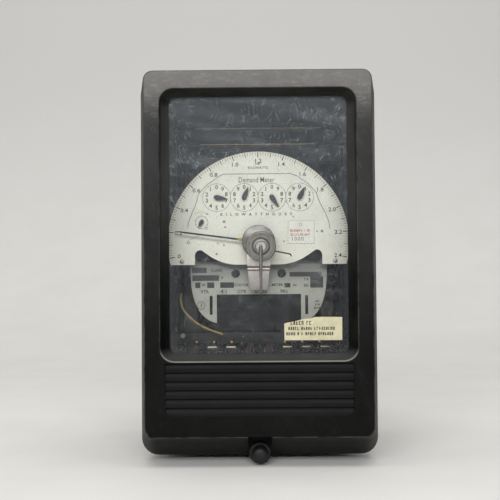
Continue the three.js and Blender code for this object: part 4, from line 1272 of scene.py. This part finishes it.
def dial_screws():
    """Two small screws in the dial's foot, the rivets in its face and the brown rings beside them."""
    for side, x in (("left", -55.8), ("right", 55.8)):
        z = DIAL_Z - 14.0
        head = turned([
            (0, DIAL_FACE - 0.55), (1.1, DIAL_FACE - 0.55), (1.7, DIAL_FACE - 0.2),
            (1.75, DIAL_FACE - 0.02), (0, DIAL_FACE - 0.02),
        ], x, z, 24)
        cut = block((x - 0.22, x + 0.22), (DIAL_FACE - 2, DIAL_FACE - 0.3), (z - 2, z + 2), 0)
        cut = moved(cut, turn=60 if x > 0 else -35, about=(x, z))
        head = combined(head, cut, "DIFFERENCE")
        piece(f"dial_screw_{side}", head, "chassis", steel)
    rivets = [
        (-25.0, 15.1, 1.05), (-24.2, 11.1, 0.75), (-25.1, -2.0, 0.7), (42.8, 7.6, 0.55),
        (46.4, 7.6, 1.0), (18.6, 0.4, 0.6), (25.6, 18.3, 0.6), (0.6, 57.4, 1.0), (-30.5, -8.5, 0.8),
    ]
    heads = [
        turned([
            (0, DIAL_FACE - 0.22), (r * 0.6, DIAL_FACE - 0.2), (r, DIAL_FACE - 0.06),
            (r, DIAL_FACE - 0.01), (0, DIAL_FACE - 0.01),
        ], x, DIAL_Z + z, 16)
        for x, z, r in rivets
    ]
    piece("dial_rivets", joined(heads), "chassis", dull_rivet)
    stains = [(-37.6, 10.2, 1.0), (-51.0, -0.2, 1.1), (-29.6, -0.6, 0.8), (-1.4, 57.2, 0.8)]
    rings = [
        ring(x, DIAL_Z + z, r * 0.75, r * 0.5, DIAL_FACE - 0.03, 0.03, 20) for x, z, r in stains
    ]
    piece("dial_stains", joined(rings), "chassis", stain)


def strokes(left, right, z, height, front, seed, weight):
    """A row of made-up letters: each an upright or two, with one or two bars."""
    draw = random.Random(seed)
    shapes = []
    x, low = left, z - height / 2
    while x < right - height * 0.6:
        width = height * draw.uniform(0.42, 0.6)
        uprights = [x] if draw.random() < 0.5 else [x, x + width - weight]
        levels = [low, low + (height - weight) / 2, low + height - weight]
        bars = draw.sample(levels, draw.choice((1, 2, 2)))
        for start in uprights:
            shapes.append(block((start, start + weight), (front - INK, front), (low, low + height), 0))
        for start in bars:
            shapes.append(block((x, x + width), (front - INK, front), (start, start + weight), 0))
        x += width + height * (0.24 if draw.random() < 0.85 else 0.75)
    return shapes


def dial_sticker():
    """A small white label on the dial with two faded red rows, a pencilled number and a painted shadow
    line round it.
    """
    low, high, left, right = -1.1, 15.0, 21.7, 40.4
    outline = [(left, low), (right, low - 0.2), (right + 0.2, high), (left + 0.2, high + 0.1)]
    label = sheet([(x, DIAL_Z + z) for x, z in outline], DIAL_FACE - 0.16, 0.12)
    piece("dial_label", label, "chassis", white_paper)
    # A painted shadow line: a sheet a little bigger than the label, just behind it.
    border = [
        (left - 0.3, low - 0.35), (right + 0.35, low - 0.55), (right + 0.5, high + 0.3),
        (left - 0.1, high + 0.4),
    ]
    shade = sheet([(x, DIAL_Z + z) for x, z in border], DIAL_FACE - 0.035, 0.03)
    piece("painted_label_shadow", shade, "chassis", painted_label_shadow)
    face = DIAL_FACE - 0.17
    red = strokes(23.2, 39.2, DIAL_Z + 8.1, 1.8, face, 3, 0.3)
    red += strokes(23.6, 38.6, DIAL_Z + 5.2, 1.8, face, 5, 0.3)
    piece("label_rows", joined(red), "chassis", red_ink)
    marks = [
        lettering("1000", 28.4, DIAL_Z + 2.0, 3.0, face, spacing=1.2),
        ring(30.8, DIAL_Z + 12.6, 1.0, 0.3, face - INK, INK, 20),
    ]
    piece("label_pencil", joined(marks), "chassis", grey_ink)


def window_label():
    """A cream paper label torn at its upper left, its rows faded to broken strokes."""
    front = PANE_FRONT - 0.2
    outline = [
        (17.5, 82.4), (57.4, 82.3), (57.5, 98.2), (46.0, 98.4), (38.4, 98.3), (36.0, 97.3),
        (31.0, 97.0), (27.0, 96.0), (22.4, 95.1), (19.6, 94.5), (17.4, 93.9),
    ]
    piece("window_label", sheet(outline, front, 0.1), "cover", cream_paper)
    rows = strokes(21.8, 36.4, 94.3, 2.7, front, 7, 0.55)
    rows += strokes(20.2, 54.6, 90.5, 2.1, front, 11, 0.5)
    rows += strokes(18.8, 52.6, 86.8, 2.1, front, 13, 0.5)
    piece("window_label_rows", joined(rows), "cover", faded_ink)


def dial_hair():
    """A stray hair caught on the dial by the needle."""
    path = [
        (-40.5, 42.2, DIAL_Z + 5.9), (-45, 44.3, DIAL_Z + 4.1), (-50, 44.7, DIAL_Z + 2.0),
        (-53, 44.7, DIAL_Z - 0.6),
    ]
    piece("dial_hair", wire(path, 0.09), "chassis", brown_metal)


# ---- chassis ----
def rounded_node(name, node, body, finish, edge=0.3, segments=2):
    """A piece that is its frame node with the edges rounded."""
    piece(name, copied(node, edge, segments), body, finish, [node])


def chassis():
    """The chassis frame, pale brown lips along its ledges and the folded flanks beside the dial."""
    rounded_node("chassis_case", "chassis_frame", "chassis", dark_sheet, 0.35)
    edges = [
        block((-half, half), (54.6, 55.4), (foot, foot + 0.75), 0.25)
        for half, foot in ((47.2, 236.3), (42.6, 224.3))
    ]
    piece("lip_edges", joined(edges), "chassis", brown_metal)
    flanks = [block((x - 1.2, x + 1.2), (58.4, 60.1), (90, 236), 0.4) for x in (-61.2, 61.2)]
    piece("chassis_flanks", joined(flanks), "chassis", dark_sheet)


def contact_block():
    """The moulded bar across the chassis' foot, its contact plates and a tongue for each switch."""
    low, high = BLOCK_LOW, BLOCK_HIGH
    bar = block((low.x, high.x), (low.y, high.y), (78, high.z), 0.7, 3)
    ribs = [
        block((x - 0.6, x + 0.6), (low.y + 1, high.y - 0.5), (76.2, 78.4), 0.2)
        for x in [pole + PITCH / 2 for pole in POLES[:-1]]
    ]
    piece("contact_bar", joined([bar, *ribs]), "chassis", bar_moulding, ["contact_block"])
    tongues = [
        block((x - 2.3, x + 2.3), (low.y + 3, high.y - 1), (67.2, 78.2), 0.5) for x in POLES
    ]
    plates = [
        block((x - 3.4, x + 3.4), (low.y + 0.1, low.y + 2.4), (74.5, 75.6), 0.2)
        for x in [POLES[number] for number in CURRENT_POLES]
    ]
    piece("contact_tongues", joined(tongues), "chassis", dark_copper)
    piece("contact_plates", joined(plates), "chassis", tin)
    back = low.y + 0.2
    crown = [(0, low.y - 0.35), (0.6, low.y - 0.3), (0.9, low.y - 0.05), (0.9, back), (0, back)]
    dots = [turned(crown, x, 78.9, 16) for x in (-45.8, -32.9, -20.1, 18.7, 31.4, 44.0)]
    piece("contact_rivets", joined(dots), "chassis", brass)
    crown = [(0, low.y - 0.4), (1.6, low.y - 0.35), (1.9, low.y - 0.1), (1.9, back), (0, back)]
    plug = turned(crown, -55.9, 83.6, 20)
    piece("bar_plug", plug, "chassis", dull_rivet)


def terminal_strip():
    """The moulded strip on the case's floor behind the switches, with a brass screw for each pole."""
    strip = [block((-66.5, 66.5), (101, 112), (46, 68), 0.8, 3)]
    strip += [
        block((x - 0.8, x + 0.8), (99.5, 112), (50, 73.5), 0.3)
        for x in [pole + PITCH / 2 for pole in (POLES[0] - PITCH, *POLES)]
    ]
    feet = [block((x - 12, x + 12), (102, 111), (6.1, 47), 0.8) for x in (-40, 40)]
    piece("terminal_strip", joined(strip + feet), "case", bar_moulding)
    screws = []
    for x in POLES:
        crown = [(0, 98.6), (0.9, 98.65), (1.25, 98.9), (1.3, 99.8), (0, 99.8)]
        screws.append(turned(crown, x, 71.6, 16))
        screws.append(block((x - 2.6, x + 2.6), (99.4, 105), (69.6, 73.0), 0.25))
    piece("strip_screws", joined(screws), "case", brass)


def switch_bank():
    """The test switches' moulded base, and on each blade a moulded finger grip."""
    rounded_node("switch_barriers", "switch_base", "case", bar_moulding, 0.35)
    for number, x in enumerate(POLES, 1):
        node = f"test_switch_{number}"
        rounded_node(f"switch_blade_{number}", node, node, dark_copper, 0.2)
        front, foot = span(node)[0].yz
        grip = block(
            (x - 3.0, x + 3.0), (front - 0.2, front + 1.3), (foot + 13.5, foot + 27.5), 0.5, 3
        )
        bars = [
            block((x - 2.7, x + 2.7), (front - 0.55, front + 0.3), (z, z + 0.9), 0.25)
            for z in [foot + rise for rise in (15.5, 18.0, 20.5, 23.0)]
        ]
        piece(f"switch_grip_{number}", joined([grip, *bars]), node, dark_shellac)


def lead():
    """The yellow lead from the frame round the front of the stator."""
    path = [
        (-58, 63, 114), (-57.6, 55, 109), (-55.5, 51, 103), (-50, 49.1, 96.6), (-42.5, 48.8, 91),
        (-34.5, 48.8, 87.4), (-26.5, 48.9, 84.6),
    ]
    route = wire(path, LEAD_RADIUS, sides=10)
    piece("yellow_lead", route, "chassis", insulation, ["lead_wire"])


def movement():
    """The rotor, its bearings, the stators and the brake magnet."""
    for side in ("left", "right"):
        node = f"stator_core_{side}"
        rounded_node(f"core_{side}", node, "chassis", laminations, 0.4)
        for kind in ("voltage", "current"):
            node = f"{kind}_coil_{side}"
            rounded_node(f"{kind}_winding_{side}", node, "chassis", tape, 1.6, 4)
    low, high = span("rotor_disk")
    centre_y = (low.y + high.y) / 2
    disk = turned([
        (1.8, low.z), (43.8, low.z), (44, low.z + 0.2), (44, high.z - 0.2), (43.8, high.z),
        (1.8, high.z), (1.8, low.z),
    ], steps=96)
    upright = Matrix.Translation((0, centre_y, 0)) @ Matrix.Rotation(pi / 2, 4, "X")
    bmesh.ops.transform(disk, matrix=upright, verts=disk.verts)
    bmesh.ops.recalc_face_normals(disk, faces=disk.faces)
    piece("rotor_plate", disk, "rotor", disk_metal, ["rotor_disk"])
    marks = []
    for step in range(50):
        mark = block((-0.35, 0.35), (-44.05, -43.6), (low.z + 0.1, high.z - 0.1), 0)
        spun = Matrix.Rotation(radians(7.2 * step), 3, "Z")
        bmesh.ops.rotate(mark, cent=(0, 0, 0), matrix=spun, verts=mark.verts)
        marks.append(moved(mark, y=centre_y))
    piece("rotor_marks", joined(marks), "rotor", black_ink)
    rounded_node("rotor_shaft", "rotor_spindle", "rotor", steel, 0.15)
    for end in ("lower", "upper"):
        rounded_node(f"{end}_jewel_cup", f"{end}_bearing", "chassis", brass)
    rounded_node("brake_block", "brake_magnet", "chassis", magnet_paint, 0.9, 3)
    rounded_node("timing_motor_can", "timing_motor", "chassis", disk_metal, 0.6, 3)
    rounded_node("register_plates", "register_frame", "chassis", dark_sheet, 0.2)


# ---- case ----
def case_body():
    """The pressed case, its rear board and the two gaskets."""
    rounded_node("steel_case", "case_shell", "case", enamel, 0.5, 3)
    rounded_node("rim_gasket", "cover_gasket", "case", rubber)
    rounded_node("window_seal", "window_gasket", "cover", rubber, 0.15)
    rounded_node("rear_board", "terminal_board", "case", moulding, 0.8, 3)


def threaded(radius, start, end, x, z, pitch=0.9):
    """A screwed shank along y with chamfered ends."""
    profile = [(0, start), (radius - 0.4, start), (radius - 0.1, start + 0.4)]
    y = start + 0.4
    while y + pitch < end - 0.5:
        profile += [(radius, y + pitch * 0.3), (radius, y + pitch * 0.45)]
        profile.append((radius - 0.35, y + pitch * 0.8))
        y += pitch
    profile += [(radius - 0.1, end - 0.4), (radius - 0.45, end), (0, end)]
    return turned(profile, x, z, 20)


def hexagon(radius, start, end, x, z, turn=0.0):
    """A hexagon nut or head with rounded corners."""
    points = arc(x, z, radius, turn, turn + 300, 5)
    return sheet(points, start, end - start, edge=0.35)


def axis_of(node):
    """Where the axis of a stud along y stands, as x and z, and the stud's front and back."""
    low, high = span(node)
    return (low.x + high.x) / 2, (low.z + high.z) / 2, low.y, high.y


def studs():
    """Rear terminals with their nuts, the panel studs and the cover's stud."""
    board = span("terminal_board")[1].y
    for number in range(1, 11):
        node = f"terminal_stud_{number}"
        x, z, front, back = axis_of(node)
        shapes = [
            threaded(TERMINAL_RADIUS, front, back, x, z),
            hexagon(4.5, board + 0.9, board + 4.0, x, z, 7 * number),
            washer(x, z, TERMINAL_RADIUS - 0.1, 4.55, board + 0.1, board + 0.8, 28),
        ]
        piece(f"terminal_{number}", joined(shapes), "case", brass, [node])
    for number in range(1, 5):
        node = f"panel_stud_{number}"
        x, z, front, back = axis_of(node)
        shoulder = turned([
            (2.6, front), (4.1, front), (4.2, front + 0.3), (4.2, front + 1.3), (2.6, front + 1.4),
            (2.6, front),
        ], x, z, 28)
        shank = threaded(PANEL_SCREW_RADIUS, front + 1.2, back, x, z, 1.0)
        shapes = joined([shank, shoulder])
        piece(f"panel_screw_{number}", shapes, "case", steel, [node])
    low, high = span("cover_stud")
    stud = threaded(NUT_STUD_RADIUS, low.y, high.y, 0, NUT_Z, 0.8)
    piece("nut_stud", stud, "case", steel, ["cover_stud"])


def case_details():
    """The two riveted seams down the case's back and the earth screw."""
    back = span("case_shell")[1].y
    seams = [
        block((x - 3, x + 3), (back - 0.6, back + 0.15), (84, 252), 0.4) for x in (-SEAM_X, SEAM_X)
    ]
    piece("back_seams", joined(seams), "case", enamel)
    crown = [
        (0, back + 0.95), (1.0, back + 0.85), (1.8, back + 0.3), (1.9, back + 0.1), (0, back + 0.1)
    ]
    rivets = [
        turned(crown, x, z, 20) for x in (-SEAM_X, SEAM_X) for z in range(92, 251, 26)
    ]
    piece("back_rivets", joined(rivets), "case", enamel)
    earth = joined([
        hexagon(4.2, back + 0.3, back + 3.0, 0, EARTH_Z, 12),
        threaded(2.2, back - 1, back + 6.5, 0, EARTH_Z),
        washer(0, EARTH_Z, 2.1, 5.2, back - 0.1, back + 0.3, 32),
    ])
    piece("earth_screw", earth, "case", brass)


# ---- stage ----
def stage():
    """A pale floor that curves up into the backdrop."""
    bm = bmesh.new()
    half, front, bend, radius, top = 2.6, -3.0, 0.6, 0.9, 3.2
    path = [(front, 0), *arc(bend, radius, radius, 180, 90, 9), (bend + radius, top)]
    verts = [bm.verts.new((-half, y, z)) for y, z in path]
    edges = [bm.edges.new(pair) for pair in zip(verts, verts[1:])]
    made = bmesh.ops.extrude_edge_only(bm, edges=edges)
    far = [v for v in made["geom"] if isinstance(v, bmesh.types.BMVert)]
    bmesh.ops.translate(bm, vec=(2 * half, 0, 0), verts=far)
    bmesh.ops.recalc_face_normals(bm, faces=bm.faces)
    mesh = bpy.data.meshes.new("floor")
    bm.to_mesh(mesh)
    bm.free()
    mesh.shade_smooth()
    mesh.materials.append(stage_finish())
    floor = bpy.data.objects.new("floor", mesh)
    bpy.context.scene.collection.objects.link(floor)


def stage_finish():
    """Matt pale paint, a little darker up the backdrop."""
    s = Surface("painted_floor")
    tone = s.tint(s.noise(90, 4, 0.6).rise(0.3, 0.7), (0.71, 0.70, 0.665), (0.74, 0.73, 0.70))
    tone = s.tint(s.axis(2).rise(20, 700), tone, (0.60, 0.59, 0.57))
    return s.coated(Base_Color=tone, Roughness=0.7)


def lamp(name, place, target, size, power, tone):
    """A soft rectangular light that faces its target."""
    light = bpy.data.lights.new(name, "AREA")
    light.shape = "RECTANGLE"
    light.size, light.size_y = size
    light.energy = power
    light.color = tone
    holder = bpy.data.objects.new(name, light)
    holder.location = place
    holder.rotation_mode = "QUATERNION"
    holder.rotation_quaternion = (Vector(target) - Vector(place)).to_track_quat("-Z", "Y")
    bpy.context.scene.collection.objects.link(holder)


def lights():
    """A bright ceiling over the bench, a wide soft light behind the camera, and a dim room."""
    bpy.context.scene.view_settings.view_transform = "Standard"
    world = bpy.data.worlds.new("room")
    bpy.context.scene.world = world
    world.use_nodes = True
    room = world.node_tree.nodes["Background"].inputs
    room["Color"].default_value = (0.93, 0.96, 1.0, 1)
    room["Strength"].default_value = 0.32
    lamp("ceiling", (0.0, -0.3, 2.2), (0, 0.1, 0), (2.6, 1.6), 28, (1.0, 0.985, 0.95))
    lamp("window_light", (-0.2, -2.1, 1.15), (0, 0, 0.2), (2.0, 0.7), 40, (0.985, 0.99, 1.0))


def camera():
    """At the height of the dial's foot, square before the cover but for a slight tilt."""
    lens = bpy.data.cameras.new("camera")
    lens.sensor_width = 36
    lens.lens = LENS_LENGTH
    lens.clip_start = 0.05
    holder = bpy.data.objects.new("camera", lens)
    holder.location = (0.0, cover_corner.y - CAMERA_REACH, CAMERA_HEIGHT)
    yaw = Matrix.Rotation(radians(CAMERA_YAW), 4, "Z")
    tilt = Matrix.Rotation(radians(90 + CAMERA_TILT), 4, "X")
    roll = Matrix.Rotation(radians(CAMERA_ROLL), 4, "Z")
    holder.rotation_mode = "QUATERNION"
    holder.rotation_quaternion = (yaw @ tilt @ roll).to_quaternion()
    bpy.context.scene.collection.objects.link(holder)
    bpy.context.scene.camera = holder


cover_moulding()
hanging_rib()
thumb_nut()
coat("window_pane", window)
dial_plate()
demand_scale()
dial_print()
register_print()
register_pointers()
demand_needle()
hub()
reset_lever()
hub_bracket()
name_plate()
slot_backing()
plate_screws()
dial_screws()
dial_sticker()
window_label()
dial_hair()
chassis()
contact_block()
terminal_strip()
switch_bank()
lead()
movement()
case_body()
studs()
case_details()
stage()
lights()
camera()
